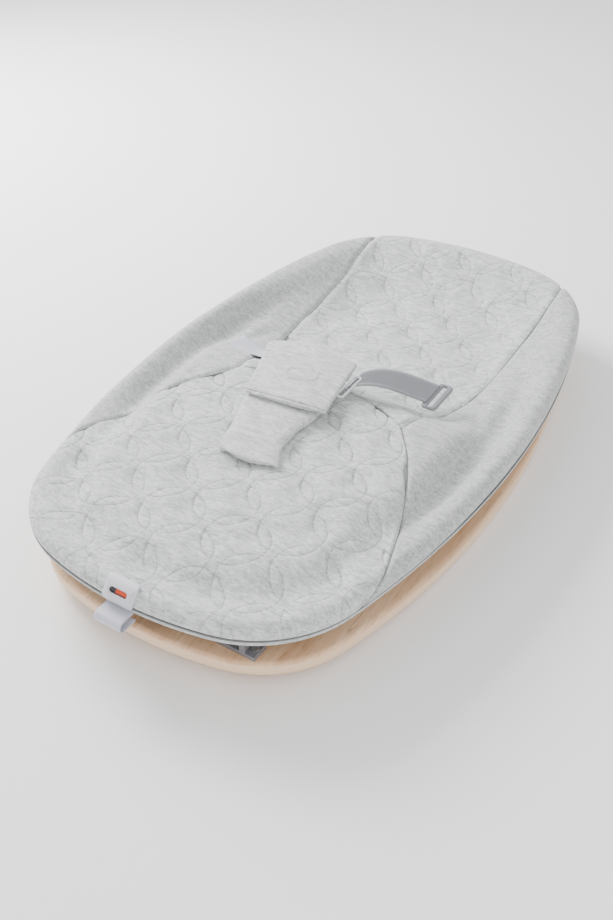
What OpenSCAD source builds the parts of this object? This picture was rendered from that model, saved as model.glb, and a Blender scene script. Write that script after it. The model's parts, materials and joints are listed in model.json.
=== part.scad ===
// Baby bouncer seat, folded flat on its bent plywood rocker base.
// X is the seat's right, Y runs from the foot end to the head end, Z is up from the floor.
// Places along the seat are given by u, the distance from the seat's foot end.

/* [Seat outline] */
// Length of the padded seat
seat_l = 750; // [600:5:900]
// Width of the padded seat at its middle
seat_w = 440; // [360:5:530]
// Radius of the long sides
side_r = 1000; // [800:10:1400]
// Radius of the foot and head ends
end_r = 380; // [330:5:450]
// Radius of the four corners
corner_r = 125; // [110:1:150]

/* [Seat frame] */
// Height of the frame tube's centre above the floor
rim_h = 78; // [72:1:100]
// Outside diameter of the frame tube
tube_d = 16; // [14:0.5:17]
// Wall of the frame tube
tube_wall = 1.5; // [1:0.1:2.5]
// Thickness of the padded cover round the tube
cover_t = 4; // [3:0.5:5]

/* [Rocker base] */
// How far the plywood ring stays inside the seat's outline
ring_inset = 10; // [6:1:20]
// Width of the plywood ring seen from above
ring_w = 58; // [45:1:62]
// Thickness of the plywood
ply_t = 18; // [15:0.5:20]
// Radius that the ring rocks on
rocker_r = 3700; // [3000:100:6000]

/* [Recline] */
// Place of the foot hinge along the seat
hinge_u = 45; // [43:1:50]
// Height of the foot hinge above the floor
hinge_h = 50; // [49:0.5:54]
// Distance from the foot hinge to the prop's pivot, which is also the prop's length
prop_l = 250; // [220:1:260]
// Half the distance between the two foot hinges
hinge_x = 95; // [88:1:108]
// Highest recline of the seat, in degrees
recline_max = 40; // [30:1:40]
// Diameter of the hinge and pivot pins
pin_d = 8; // [6:0.5:8]
// Radial play of a pin in its bore
pin_play = 0.08; // [0.05:0.01:0.1]
// Side play between moving parts
side_play = 0.6; // [0.4:0.1:1]

/* [Prop] */
// Diameter of the prop's legs
leg_d = 14; // [12:0.5:14]
// How far the prop's legs stand out over the plywood's inner edge
leg_over = 16; // [8:1:17]
// Diameter of the prop's cross bar
bar_d = 12; // [10:0.5:12]
// How far the cross bar hangs below the prop's glides
bar_drop = 18; // [16:0.5:19]
// Diameter of the glides that slide in the racks
glide_d = 11; // [9:0.5:12]
// Thickness of the rack cheeks
rack_t = 12; // [9:0.5:13]

/* [Stabiliser feet] */
// Width of a stabiliser foot
foot_w = 120; // [80:2:150]
// Thickness of the rubber soles
sole_t = 4; // [3:0.5:6]
// Thickness of the foot's web
foot_t = 8; // [6:0.5:9]

/* [Cushion] */
// Depth of the back's hollow below the frame
back_sink = 24; // [8:1:25]
// Height that the seat cushion stands above the frame's centre
seat_crown = 18; // [8:1:24]
// Thickness of the quilted pads
pad_t = 9; // [6:0.5:10]
// Height that the side wings bulge above the pads
wing_bulge = 12; // [6:1:18]
// Thickness of the sling cloth
sling_t = 2; // [1.5:0.5:2.5]
// Gap kept between soft pieces
soft_gap = 0.5; // [0.4:0.1:1]

/* [Harness] */
// Width of the waist belt
belt_w = 36; // [25:1:40]
// Thickness of the belt webbing
belt_t = 1.6; // [1.2:0.1:2.5]
// Width of the pull tab
tab_w = 30; // [20:1:36]
// How far the pull tab stands out past the foot end
tab_out = 18; // [12:1:30]

/* [Hidden] */
$fn = 64;

// Places along the length, and the frame's origin: the middle of the box, pull tab included
seat_y = tab_out / 2;
function at_u(u) = u - seat_l / 2 + seat_y;

// ---- The outline: three arcs a quarter, each inset keeps the same centres ----
side_c = [seat_w / 2 - side_r, seat_l / 2];
foot_c = [0, end_r];
corner_c = meet(side_c, side_r - corner_r, foot_c, end_r - corner_r);

// The right-hand meeting point of a circle about p and a circle about q
function meet(p, rp, q, rq) =
    let (d = norm(q - p), a = (rp * rp - rq * rq + d * d) / (2 * d), h = sqrt(max(0, rp * rp - a * a)),
         e = (q - p) / d)
    p + a * e + h * [-e[1], e[0]] * (e[0] > 0 ? -1 : 1);

function aim(p, q) = atan2(q[1] - p[1], q[0] - p[0]);
foot_turn = aim(foot_c, corner_c);
side_turn = aim(side_c, corner_c);

// Half the outline's width at u, for an outline moved in by inset
function half_w(u, inset) =
    let (v = min(u, seat_l - u),
         foot_end = end_r + (end_r - inset) * sin(foot_turn),
         side_start = side_c[1] + (side_r - inset) * sin(side_turn))
    v <= foot_end ? sqrt(max(0, pow(end_r - inset, 2) - pow(v - end_r, 2)))
    : v <= side_start ? corner_c[0] + sqrt(max(0, pow(corner_r - inset, 2) - pow(v - corner_c[1], 2)))
    : side_c[0] + sqrt(max(0, pow(side_r - inset, 2) - pow(v - side_c[1], 2)));

function arc_points(c, r, a0, a1, n) =
    [for (i = [0:n - 1]) let (a = a0 + (a1 - a0) * i / n) c + r * [cos(a), sin(a)]];

// The right half of the outline, from the foot end to the head end
function right_points(inset, n = 14) =
    let (low = concat(arc_points(foot_c, end_r - inset, -90, foot_turn, n),
                      arc_points(corner_c, corner_r - inset, foot_turn, side_turn, n),
                      arc_points(side_c, side_r - inset, side_turn, 0, n)))
    concat(low, [side_c + [side_r - inset, 0]], [for (i = [len(low) - 1:-1:0]) [low[i][0], seat_l - low[i][1]]]);

module outline(inset) {
    right = right_points(inset);
    count = len(right);
    polygon([for (p = right) [p[0], at_u(p[1])], for (i = [count - 2:-1:1]) [-right[i][0], at_u(right[i][1])]]);
}

// ---- Shared helpers ----
module both_sides() {
    children();
    mirror([1, 0, 0]) children();
}

// A round bar along X, centred on x = 0 unless from is given
module bar_x(d, length, from = undef) {
    start = is_undef(from) ? -length / 2 : from;
    translate([start, 0, 0]) rotate([0, 90, 0]) cylinder(d = d, h = length);
}

// Extrudes a side view drawn in (y, z) along X
module side_view(width, from = undef) {
    start = is_undef(from) ? -width / 2 : from;
    translate([start, 0, 0]) rotate([90, 0, 90]) linear_extrude(width) children();
}

// Points of a side view's lower edge, resting on the plywood from u0 to u1
function on_ply(u0, u1, n = 8) = [for (i = [0:n]) let (u = u0 + (u1 - u0) * i / n) [at_u(u), ply_top(u)]];

function ply_bottom(u) = rocker_r - sqrt(pow(rocker_r, 2) - pow(u - seat_l / 2, 2));
function ply_top(u) = rocker_r - sqrt(pow(rocker_r - ply_t, 2) - pow(u - seat_l / 2, 2));

// ---- Rocker base ----
module rocker_ring() color("burlywood") {
    intersection() {
        difference() {
            linear_extrude(rim_h) outline(ring_inset);
            translate([0, 0, -1]) linear_extrude(rim_h + 2) outline(ring_inset + ring_w);
        }
        translate([-seat_w, seat_y, rocker_r]) rotate([0, 90, 0]) difference() {
            cylinder(r = rocker_r, h = 2 * seat_w, $fn = 256);
            translate([0, 0, -1]) cylinder(r = rocker_r - ply_t, h = 2 * seat_w + 2, $fn = 256);
        }
    }
}

grip_u = 118;
grip_d = 26;
grip_t = 2.5;

// Round rubber pads under the ring, clear of the floor until the ring has rocked
module ring_grip_pads() color("gray") {
    both_sides() for (u = [grip_u, seat_l - grip_u])
        translate([half_w(u, ring_inset + ring_w / 2), at_u(u), ply_bottom(u)])
            rotate([asin((u - seat_l / 2) / rocker_r), 0, 0])
                translate([0, 0, -grip_t]) cylinder(d = grip_d, h = grip_t);
}

ear_t = 6;
ear_r = 9.5;
lug_w = 12;
screw_d = 4;
screw_head_d = 8;
screw_head_t = 2.4;
plate_t = 5;
bracket_w = lug_w + 2 * side_play + 2 * ear_t;
bracket_foot = 10;

// A foot hinge bracket: two ears on a screwed plate that sits on the plywood
module hinge_bracket() color("lightgray") {
    u0 = hinge_u - ear_r;
    u1 = hinge_u + ear_r;
    plate_h = ply_top(u0) + plate_t;
    difference() {
        union() {
            for (side = [0, 1])
                side_view(ear_t, from = hinge_x - bracket_w / 2 + side * (bracket_w - ear_t)) {
                    translate([at_u(hinge_u), hinge_h]) circle(ear_r);
                    polygon(concat(on_ply(u0, u1), [[at_u(u1), hinge_h], [at_u(u0), hinge_h]]));
                }
            side_view(bracket_w + 2 * bracket_foot, from = hinge_x - bracket_w / 2 - bracket_foot)
                polygon(concat(on_ply(u0, u1), [[at_u(u1), plate_h], [at_u(u0), plate_h]]));
        }
        translate([0, at_u(hinge_u), hinge_h]) bar_x(pin_d, seat_w);
        for (side = [-1, 1]) translate([hinge_x + side * (bracket_w + bracket_foot) / 2, at_u(hinge_u), 0])
            cylinder(d = screw_d, h = hinge_h);
    }
}

leg_x = seat_w / 2 - ring_inset - ring_w + leg_over;

// The prop's glides travel between these places as the seat goes from flat to fully up
track_far = hinge_u + 2 * prop_l;
track_near = hinge_u + 2 * prop_l * cos(recline_max);
track_play = 0.5;
track_end = 5;
rack_wall = 4.5;
rack_x = leg_x + leg_d / 2 + 2;
rack_low = track_near - glide_d / 2 - track_end - rack_wall;
rack_high = track_far + glide_d / 2 + track_end + rack_wall;
recline_steps = [16, 28, recline_max];

// A rack: a cheek on the plywood's side, with the glide's track and a notch for each recline
module recline_rack() color("lightgray") {
    track_h = glide_d + 2 * track_play;
    top = hinge_h + track_h / 2 + rack_wall;
    difference() {
        side_view(rack_t, from = rack_x) difference() {
            polygon(concat(on_ply(rack_low, rack_high, 12), [[at_u(rack_high), top], [at_u(rack_low), top]]));
            translate([at_u(track_near), hinge_h - track_h / 2]) square([track_far - track_near, track_h]);
            for (u = [track_near, track_far]) translate([at_u(u), hinge_h]) circle(d = track_h);
            for (angle = recline_steps)
                translate([at_u(hinge_u + 2 * prop_l * cos(angle)), hinge_h - track_play - notch_h])
                    circle(d = glide_d);
        }
        for (u = rack_screws) translate([rack_x + rack_t / 2, at_u(u), 0]) cylinder(d = screw_d, h = ply_top(u) + 8);
    }
}
notch_h = 2.5;
rack_screws = [rack_low + 14, (rack_low + rack_high) / 2, rack_high - 14];

// ---- Stabiliser feet: flaps on the ring's inner edge that stop the rocking ----
stab_pin_d = 6;
stab_h = 34;
stab_ear_t = 7;
stab_hub_r = 6;
stab_gap = 2;
mount_w = foot_w + 2 * stab_ear_t + 2 * side_play;
mount_reach = 34;
// The plywood's inner edge is furthest in where the mount's ears pass it
ring_inner_r = end_r - ring_inset - ring_w;
mount_edge = end_r - sqrt(pow(ring_inner_r, 2) - pow(mount_w / 2, 2));
stab_u = mount_edge + stab_gap + stab_hub_r;
mount_top = ply_top(mount_edge - mount_reach) + 4;

// A stabiliser's mount at the foot end: a plate on the plywood with two ears past its inner edge
module stabiliser_mount() color("lightgray") {
    edge = mount_edge;
    u0 = edge - mount_reach;
    difference() {
        union() {
            side_view(mount_w)
                polygon(concat(on_ply(u0, edge), [[at_u(edge), mount_top], [at_u(u0), mount_top]]));
            for (side = [0, 1])
                side_view(stab_ear_t, from = -mount_w / 2 + side * (mount_w - stab_ear_t)) {
                    translate([at_u(stab_u), stab_h]) circle(stab_hub_r);
                    polygon(concat(on_ply(edge - mount_reach / 2, edge),
                        [[at_u(edge) + 1, ply_top(edge)], [at_u(edge) + 1, stab_h - stab_hub_r],
                         [at_u(stab_u), stab_h - stab_hub_r], [at_u(stab_u), stab_h + stab_hub_r],
                         [at_u(edge - mount_reach / 2), stab_h + stab_hub_r]]));
                }
        }
        translate([0, at_u(stab_u), stab_h]) bar_x(stab_pin_d, seat_w);
        for (side = [-1, 1]) translate([side * mount_w / 3, at_u(edge - mount_reach / 2), 0])
            cylinder(d = screw_d, h = rim_h);
    }
}

// A stabiliser foot: a web from its hub down to the sole
module stabiliser_foot() color("gainsboro") {
    difference() {
        side_view(foot_w) {
            translate([at_u(stab_u), stab_h]) circle(stab_hub_r);
            translate([at_u(stab_u) - foot_t / 2, sole_t]) square([foot_t, stab_h - sole_t]);
            translate([at_u(stab_u) - foot_t, sole_t]) square([2 * foot_t, foot_t / 2]);
        }
        translate([0, at_u(stab_u), stab_h]) bar_x(stab_pin_d + 2 * pin_play, foot_w + 2);
        for (side = [-1, 0, 1]) translate([side * foot_w / 3, at_u(stab_u), sole_t + foot_t / 2 + 8])
            rotate([90, 0, 0]) cylinder(d = 9, h = 3 * foot_t, center = true);
    }
}

module stabiliser_sole() color("dimgray") {
    translate([-foot_w / 2, at_u(stab_u) - foot_t, 0]) cube([foot_w, 2 * foot_t, sole_t]);
}

module stabiliser_pin() color("silver") {
    translate([0, at_u(stab_u), stab_h]) bar_x(stab_pin_d, mount_w);
}

// Turns a foot-end piece round to the head end
module at_head_end() {
    translate([0, 2 * seat_y, 0]) mirror([0, 1, 0]) children();
}

module pan_screw(head_z, length) {
    translate([0, 0, head_z]) cylinder(d = screw_head_d, h = screw_head_t);
    translate([0, 0, head_z - length]) cylinder(d = screw_d, h = length);
}

module mounting_screws() color("silver") {
    both_sides() for (side = [-1, 1])
        translate([hinge_x + side * (bracket_w + bracket_foot) / 2, at_u(hinge_u), 0])
            pan_screw(ply_top(hinge_u - ear_r) + plate_t, plate_t - 1);
    stab_screw_u = mount_edge - mount_reach / 2;
    both_sides() for (u = [stab_screw_u, seat_l - stab_screw_u])
        translate([mount_w / 3, at_u(u), 0])
            pan_screw(mount_top, 3);
}

// ---- Seat frame ----
rim_r = tube_d / 2 + cover_t;
connector_u = hinge_u + prop_l;

module tube_arc(c, r, a0, a1, d_out, d_in) {
    translate([c[0], at_u(c[1]), rim_h]) rotate([0, 0, a0]) rotate_extrude(angle = a1 - a0, $fn = 180)
        translate([r, 0]) difference() {
            circle(d = d_out);
            if (d_in > 0) circle(d = d_in);
        }
}

// A hoop of the frame's line round the foot end, its arms ending where the side arc is at side_end.
// The corner bends are a hair thicker than the rest, and lap into it.
bend_swell = 0.1;
bend_lap = 0.2;

module bend(a0, a1, d_out, d_in) {
    tube_arc(corner_c, corner_r - rim_r, a0, a1, d_out + bend_swell, d_in > 0 ? d_in - bend_swell : 0);
}

module hoop(d_out, d_in, side_end) {
    tube_arc(foot_c, end_r - rim_r, -180 - foot_turn, foot_turn, d_out, d_in);
    both_sides() {
        bend(foot_turn - bend_lap, side_turn + bend_lap, d_out, d_in);
        tube_arc(side_c, side_r - rim_r, side_turn, side_end, d_out, d_in);
    }
}

function side_angle(u) = asin((u - seat_l / 2) / (side_r - rim_r));
connector_angle = side_angle(connector_u);

module foot_hoop_tube() color("silver") hoop(tube_d, tube_d - 2 * tube_wall, connector_angle);
module head_hoop_tube() color("silver")
    at_head_end() hoop(tube_d, tube_d - 2 * tube_wall, -connector_angle);

connector_l = 56;
connector_wall = 3;
connector_x = side_c[0] + (side_r - rim_r) * cos(connector_angle);
pivot_ear_t = 8;
pivot_ear_x = leg_x + leg_d / 2 + 2;
pivot_r = 9;
// The ear's bridge passes under the sling's edge
bridge_top = rim_h - pad_t - sling_t - 4 * soft_gap;

// Joins the two hoops, and carries the prop's pivot on an ear that hangs inside the frame
module side_connector() color("gainsboro") {
    outer = tube_d / 2 + connector_wall;
    difference() {
        union() {
            tube_arc(side_c, side_r - rim_r, side_angle(connector_u - connector_l / 2),
                     side_angle(connector_u + connector_l / 2), 2 * outer, 0);
            translate([pivot_ear_x, at_u(connector_u) - pivot_r, bridge_top - 2 * connector_wall])
                cube([connector_x - pivot_ear_x, 2 * pivot_r, 2 * connector_wall]);
            translate([connector_x - 2 * connector_wall, at_u(connector_u) - pivot_r, bridge_top - connector_wall])
                cube([2 * connector_wall, 2 * pivot_r, rim_h - tube_d / 2 - bridge_top + connector_wall]);
            side_view(pivot_ear_t, from = pivot_ear_x) {
                translate([at_u(connector_u), hinge_h]) circle(pivot_r);
                translate([at_u(connector_u) - pivot_r, hinge_h]) square([2 * pivot_r, bridge_top - hinge_h]);
            }
        }
        tube_arc(side_c, side_r - rim_r, side_angle(connector_u - connector_l),
                 side_angle(connector_u + connector_l), tube_d, 0);
        translate([0, at_u(connector_u), hinge_h]) bar_x(pin_d, seat_w);
        for (side = [-1, 1]) translate([connector_x, at_u(connector_u) + side * connector_l / 3, 0])
            cylinder(d = screw_d, h = rim_h - tube_d / 2 + 1);
    }
}

module connector_rivets() color("silver") both_sides() for (side = [-1, 1])
    translate([connector_x, at_u(connector_u) + side * connector_l / 3, rim_h - tube_d / 2 - connector_wall]) {
        cylinder(d = screw_d, h = connector_wall - 0.6);
        translate([0, 0, -1.5]) cylinder(d = screw_head_d, h = 1.5);
    }

// The lug grips the tube where the corner arc passes the hinge's place across the seat
lug_angle = -acos((hinge_x - corner_c[0]) / (corner_r - rim_r));
lug_u = corner_c[1] + (corner_r - rim_r) * sin(lug_angle);
lug_wall = 3;
lug_half_turn = asin(lug_w / 2 / (corner_r - rim_r));

// A moulded lug: a sleeve on the frame tube with an arm down to the foot hinge
module hinge_lug() color("gainsboro") {
    difference() {
        union() {
            tube_arc(corner_c, corner_r - rim_r, lug_angle - lug_half_turn, lug_angle + lug_half_turn,
                     tube_d + 2 * lug_wall, 0);
            side_view(lug_w, from = hinge_x - lug_w / 2) {
                translate([at_u(hinge_u), hinge_h]) circle(ear_r - 1.5);
                polygon([[at_u(lug_u) - 3, rim_h - 5], [at_u(lug_u) + 5, rim_h - 5],
                         [at_u(hinge_u) + ear_r - 2, hinge_h + 3], [at_u(hinge_u) - ear_r + 2, hinge_h - 1]]);
            }
        }
        bend(lug_angle - 3 * lug_half_turn, lug_angle + 3 * lug_half_turn, tube_d, 0);
        translate([0, at_u(hinge_u), hinge_h]) bar_x(pin_d + 2 * pin_play, seat_w);
    }
}

module hinge_pins() color("silver") both_sides()
    translate([hinge_x, at_u(hinge_u), hinge_h]) bar_x(pin_d, bracket_w);

// ---- Lock unit at the foot end ----
housing_w = 40;
housing_wall = 4;
window_w = 20;
window_h = 6;
slider_l = 14;
slider_h = 5;
slider_t = 2;
slider_play = 0.4;
slider_travel = 5;
bezel_t = 2;
bezel_w = 34;
housing_r = tube_d / 2 + housing_wall;
window_tilt = 50;
lock_screw_d = 2;
lock_screw_x = (bezel_w / 2 + window_w / 2) / 2 + 0.5;
foot_r = end_r - rim_r;

function foot_angle(x) = -90 + asin(x / foot_r);

// Moves children onto the frame tube at the foot end, with Z along the window's way out
module on_window() {
    translate([0, at_u(rim_r), rim_h]) rotate([window_tilt, 0, 0]) children();
}

// The housing clips over the tube and guides the slider under the window
module lock_housing() color("gainsboro") {
    difference() {
        tube_arc(foot_c, foot_r, foot_angle(-housing_w / 2), foot_angle(housing_w / 2), 2 * housing_r, tube_d);
        on_window() translate([-(slider_l + slider_travel) / 2 - slider_play, -slider_h / 2 - slider_play, tube_d / 2 + 1])
            cube([slider_l + slider_travel + 2 * slider_play, slider_h + 2 * slider_play, housing_wall]);
        for (side = [-1, 1]) on_window() translate([side * lock_screw_x, 0, tube_d / 2 + 1])
            cylinder(d = lock_screw_d, h = housing_wall);
    }
}

module lock_housing_screws() color("silver") for (side = [-1, 1]) on_window()
    translate([side * lock_screw_x, 0, tube_d / 2 + 1]) cylinder(d = lock_screw_d, h = housing_wall - 1.5);

// The bezel: a curved plate over the housing, with an obround window
module lock_bezel() color("whitesmoke") {
    difference() {
        translate([foot_c[0], at_u(foot_c[1]), rim_h]) rotate([0, 0, foot_angle(-bezel_w / 2)])
            rotate_extrude(angle = foot_angle(bezel_w / 2) - foot_angle(-bezel_w / 2), $fn = 180)
                translate([foot_r, 0]) bezel_section();
        on_window() linear_extrude(3 * housing_r) {
            square([window_w - window_h, window_h], center = true);
            for (side = [-1, 1]) translate([side * (window_w - window_h) / 2, 0]) circle(d = window_h);
        }
    }
}

// A slice of a ring round the tube, facing up and outwards
module bezel_section() {
    difference() {
        circle(housing_r + bezel_t);
        circle(housing_r);
        rotate(90 - window_tilt + bezel_half_turn) translate([-3 * housing_r, 0]) square([6 * housing_r, 3 * housing_r]);
        rotate(90 - window_tilt - bezel_half_turn) translate([-3 * housing_r, -3 * housing_r])
            square([6 * housing_r, 3 * housing_r]);
    }
}
bezel_half_turn = 52;

module lock_slider() color("orangered") on_window()
    translate([(slider_travel - slider_l) / 2, -slider_h / 2, tube_d / 2 + 1 + slider_play])
        cube([slider_l, slider_h, slider_t]);

// ---- Prop ----
leg_stub = 12;

module prop_leg() color("silver") translate([leg_x, at_u(connector_u + leg_stub), hinge_h])
    rotate([-90, 0, 0]) difference() {
        cylinder(d = leg_d, h = prop_l - 2 * leg_stub);
        translate([0, 0, -1]) cylinder(d = leg_d - 2 * tube_wall, h = prop_l);
    }

// Cap on the leg's upper end, with the bore of the pivot
module prop_knuckle() color("gainsboro") translate([leg_x, at_u(connector_u), hinge_h]) difference() {
    union() {
        bar_x(2 * (pivot_r - 1.5), leg_d);
        translate([-leg_d / 2, 0, -leg_d / 2]) cube([leg_d, leg_stub, leg_d]);
        rotate([-90, 0, 0]) cylinder(d = leg_d - 2 * tube_wall - 0.2, h = leg_stub + 20);
    }
    bar_x(pin_d + 2 * pin_play, seat_w);
}

// Shoe on the leg's lower end, which holds the glide's stud and the cross bar
module prop_shoe() color("gainsboro") translate([leg_x, at_u(track_far), hinge_h]) difference() {
    union() {
        bar_x(leg_d, leg_d);
        translate([-leg_d / 2, -leg_stub, -leg_d / 2]) cube([leg_d, leg_stub, leg_d]);
        translate([-leg_d / 2, -leg_d / 2, -bar_drop]) cube([leg_d, leg_d, bar_drop]);
        translate([0, 0, -bar_drop]) bar_x(leg_d, leg_d);
        rotate([90, 0, 0]) cylinder(d = leg_d - 2 * tube_wall - 0.2, h = leg_stub + 20);
    }
    bar_x(pin_d - 2, seat_w);
    translate([0, 0, -bar_drop]) bar_x(bar_d, seat_w);
}

module prop_cross_bar() color("silver") translate([0, at_u(track_far), hinge_h - bar_drop]) difference() {
    bar_x(bar_d, 2 * leg_x + leg_d);
    bar_x(bar_d - 2 * tube_wall, 2 * leg_x + leg_d + 2);
}

// Glides and their studs, one at each side
module prop_glides() color("whitesmoke") both_sides() translate([0, at_u(track_far), hinge_h]) {
    bar_x(pin_d - 2, leg_d, from = leg_x - leg_d / 2);
    bar_x(glide_d, rack_t + 1, from = leg_x + leg_d / 2);
}

module prop_pivot_pins() color("silver") both_sides() translate([0, at_u(connector_u), hinge_h])
    bar_x(pin_d, leg_d + 2 + pivot_ear_t, from = leg_x - leg_d / 2);

// ---- Soft goods: closed solids lofted through cross-sections, all worked out from the outline ----
// Sections are closed loops of the same length that run the same way round, out along the underside
// and back along the upper side, so that a cap is a row of quads between the two
module loft(sections) {
    n = len(sections[0]);
    m = len(sections);
    cap = [for (k = [0:n / 2 - 2]) [k, k + 1, n - 2 - k, n - 1 - k]];
    polyhedron(
        [for (s = sections) for (p = s) p],
        concat(
            [for (q = cap) for (t = [[q[0], q[1], q[2]], [q[0], q[2], q[3]]]) t],
            [for (i = [0:m - 2]) for (j = [0:n - 1]) let (k = (j + 1) % n)
                for (t = [[i * n + j, (i + 1) * n + j, (i + 1) * n + k], [i * n + j, (i + 1) * n + k, i * n + k]]) t],
            [for (q = cap) let (z = (m - 1) * n)
                for (t = [[z + q[2], z + q[1], z + q[0]], [z + q[3], z + q[2], z + q[0]]]) t]),
        convexity = 6);
}

inner = 2 * rim_r + soft_gap;

// How far across a place is, from 0 on the centre line to 1 at the frame
function across(x, u) = min(1, abs(x) / max(1, half_w(min(max(u, inner), seat_l - inner), inner)));

// A smooth hump that is 0 outside u0 to u1 and 1 half way
function hump(u, u0, u1) = u <= u0 || u >= u1 ? 0 : sin(180 * (u - u0) / (u1 - u0));
crown_from = 20;
waist_u = 366;
sink_to = 735;

// The pads rest on this surface: level under the seat, hollow under the back
function floor_z(x, u) = rim_h - back_sink * hump(u, waist_u, sink_to) * pow(cos(90 * across(x, u)), 1.2);

// The upper face of the pads
function pad_z(x, u) = floor_z(x, u) + seat_crown * hump(u, crown_from, waist_u + 20) * (1 - pow(across(x, u), 4));

// A padded piece's closed loop at u, from x0 to x1, low below the floor and bulging in its middle
across_n = 8;
function pad_section(u, x0, x1, low, bulge) =
    let (xs = [for (i = [0:across_n]) x0 + (x1 - x0) * i / across_n])
    concat(
        [for (i = [0:across_n]) [xs[i], at_u(u), floor_z(xs[i], u) + low]],
        [for (i = [across_n:-1:0]) [xs[i], at_u(u), pad_z(xs[i], u) + bulge * pow(sin(180 * i / across_n), 0.7)]]);

function sling_section(u, w) =
    let (xs = [for (i = [0:across_n]) w * (2 * i / across_n - 1)])
    concat(
        [for (i = [0:across_n]) [xs[i], at_u(u), floor_z(xs[i], u) + sling_low]],
        [for (i = [across_n:-1:0]) [xs[i], at_u(u), floor_z(xs[i], u) + sling_low + sling_t]]);

sling_low = -(pad_t + sling_t + 3 * soft_gap);
station_n = 34;
station_step = 22;
function stations(u0, u1) = [for (i = [0:station_n]) u0 + (u1 - u0) * i / station_n];

// Stations from one corner of a seam line to the next, so that pieces on both sides of it share them
function knots(us) = [for (i = [0:len(us) - 2]) let (n = ceil((us[i + 1] - us[i]) / station_step))
    for (k = [0:n - 1]) us[i] + (us[i + 1] - us[i]) * k / n, us[len(us) - 1]];

module sling() color("lightgray") loft([for (u = stations(inner + 3, seat_l - inner - 3))
    sling_section(u, half_w(u, inner))]);

// Seams between the quilts and the wings, as half-widths along the length
seam_foot = 190;
seam_knee = 122;
seam_waist = 88;
seam_back = 114;
seam_head = 132;
knee_u = 325;
back_u = 490;
wing_start = 128;
function between(u, u0, u1, a, b) = a + (b - a) * max(0, min(1, (u - u0) / (u1 - u0)));
function seam(u) =
    u < knee_u ? between(u, wing_start, knee_u, seam_foot, seam_knee)
    : u < waist_u ? between(u, knee_u, waist_u, seam_knee, seam_waist)
    : u < back_u ? between(u, waist_u, back_u, seam_waist, seam_back)
    : between(u, back_u, seat_l, seam_back, seam_head);

wing_from = wing_start + 22;
wing_end = seat_l - inner - 12;
wing_least = 4;

// Where a quilt ends and a wing begins, which leaves the wing its least width next to the frame
function seam_at(u) = min(seam(u), half_w(u, inner) - wing_least);

module quilt(us) loft([for (u = knots(us)) let (w = seam_at(u) - soft_gap / 2) pad_section(u, -w, w, -pad_t, 0)]);

module seat_quilt() color("lightgray")
    quilt([inner + 3, 2 * inner, wing_start, wing_from, knee_u, waist_u - soft_gap / 2]);
module back_quilt() color("lightgray") quilt([waist_u + soft_gap / 2, back_u, wing_end, seat_l - inner - 3]);

module side_wing() color("silver") loft([for (u = knots([wing_from, knee_u, waist_u, back_u, wing_end]))
    let (ends = pow(sin(180 * (u - wing_start - 14) / (wing_end + 20 - wing_start)), 0.5))
    pad_section(u, seam_at(u) + soft_gap / 2, half_w(u, inner), -pad_t, wing_bulge * ends)]);

// Foam sleeves round the frame tube: one length for each bend and each stretch between fittings
butt_gap = 0.3;
sleeve_bore = tube_d + bend_swell;
bend_gap = butt_gap / corner_r * 180 / PI;
lug_clear = 2 * lug_half_turn;

module bend_sleeve(a0, a1) tube_arc(corner_c, corner_r - rim_r, a0, a1, 2 * rim_r, sleeve_bore);
module side_sleeve(a0, a1) tube_arc(side_c, side_r - rim_r, a0, a1, 2 * rim_r, sleeve_bore);
module end_sleeve(a0, a1) tube_arc(foot_c, foot_r, a0, a1, 2 * rim_r, sleeve_bore);

module foot_end_sleeves() color("lightgray") both_sides() {
    end_sleeve(foot_angle(housing_w / 2 + 1), foot_turn);
    bend_sleeve(lug_angle + lug_clear, side_turn - bend_gap);
}

module side_sleeves() color("lightgray") {
    side_sleeve(side_turn, side_angle(connector_u - connector_l / 2 - 1));
    side_sleeve(side_angle(connector_u + connector_l / 2 + 1), -side_turn);
}

module head_corner_sleeves() color("lightgray") both_sides()
    at_head_end() bend_sleeve(foot_turn + bend_gap, side_turn - bend_gap);

module head_end_sleeve() color("lightgray") at_head_end() end_sleeve(-180 - foot_turn, foot_turn);

// ---- Harness ----
// Heights here are above the frame's centre; the bundle stands up off the pads as the folded straps lie
strap_foot = [2, 202];
strap_w = [64, 84];
strap_t = 6;
wrap_foot = [-12, 284];
wrap_head = [-38, 386];
wrap_w = [95, 112];
wrap_turn = 6;
wrap_t = 8;
wrap_h = 28;

// A closed loop across the strap at p, turned from X, lying between z and z + t
function strip(p, width, turn, z, t) =
    [for (q = [[-1, 0], [1, 0], [1, t], [-1, t]])
        [p[0] + q[0] * width / 2 * cos(turn), at_u(p[1] + q[0] * width / 2 * sin(turn)), z + q[1]]];

// The padded strap that rises between the legs, to end under the wrap
module crotch_strap() color("lightgray") {
    low = pad_z(strap_foot[0], strap_foot[1]) + soft_gap;
    high = rim_h + wrap_h - strap_t - soft_gap;
    top = wrap_foot + (wrap_head - wrap_foot) * 0.6;
    loft([for (i = [0:8]) let (t = i / 8)
        strip(strap_foot + (top - strap_foot) * t, strap_w[0] + (strap_w[1] - strap_w[0]) * t, wrap_turn * t,
              low + (high - low) * pow(t, 0.7), strap_t)]);
}

// The wrap closes over the waist belt with hook-and-loop
module crotch_wrap() color("lightgray") loft([for (i = [0:8]) let (t = i / 8)
    strip(wrap_foot + (wrap_head - wrap_foot) * t, wrap_w[0] + (wrap_w[1] - wrap_w[0]) * t, wrap_turn,
          rim_h + wrap_h, wrap_t)]);

belt_u = 368;
belt_x = 26;
belt_rise = 6;

// A closed loop across the belt at x, u and height z
function belt_loop(x, u, z) =
    [for (q = [[-belt_w / 2, 0], [belt_w / 2, 0], [belt_w / 2, belt_t], [-belt_w / 2, belt_t]])
        [x, at_u(u + q[0]), z + q[1]]];

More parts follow.
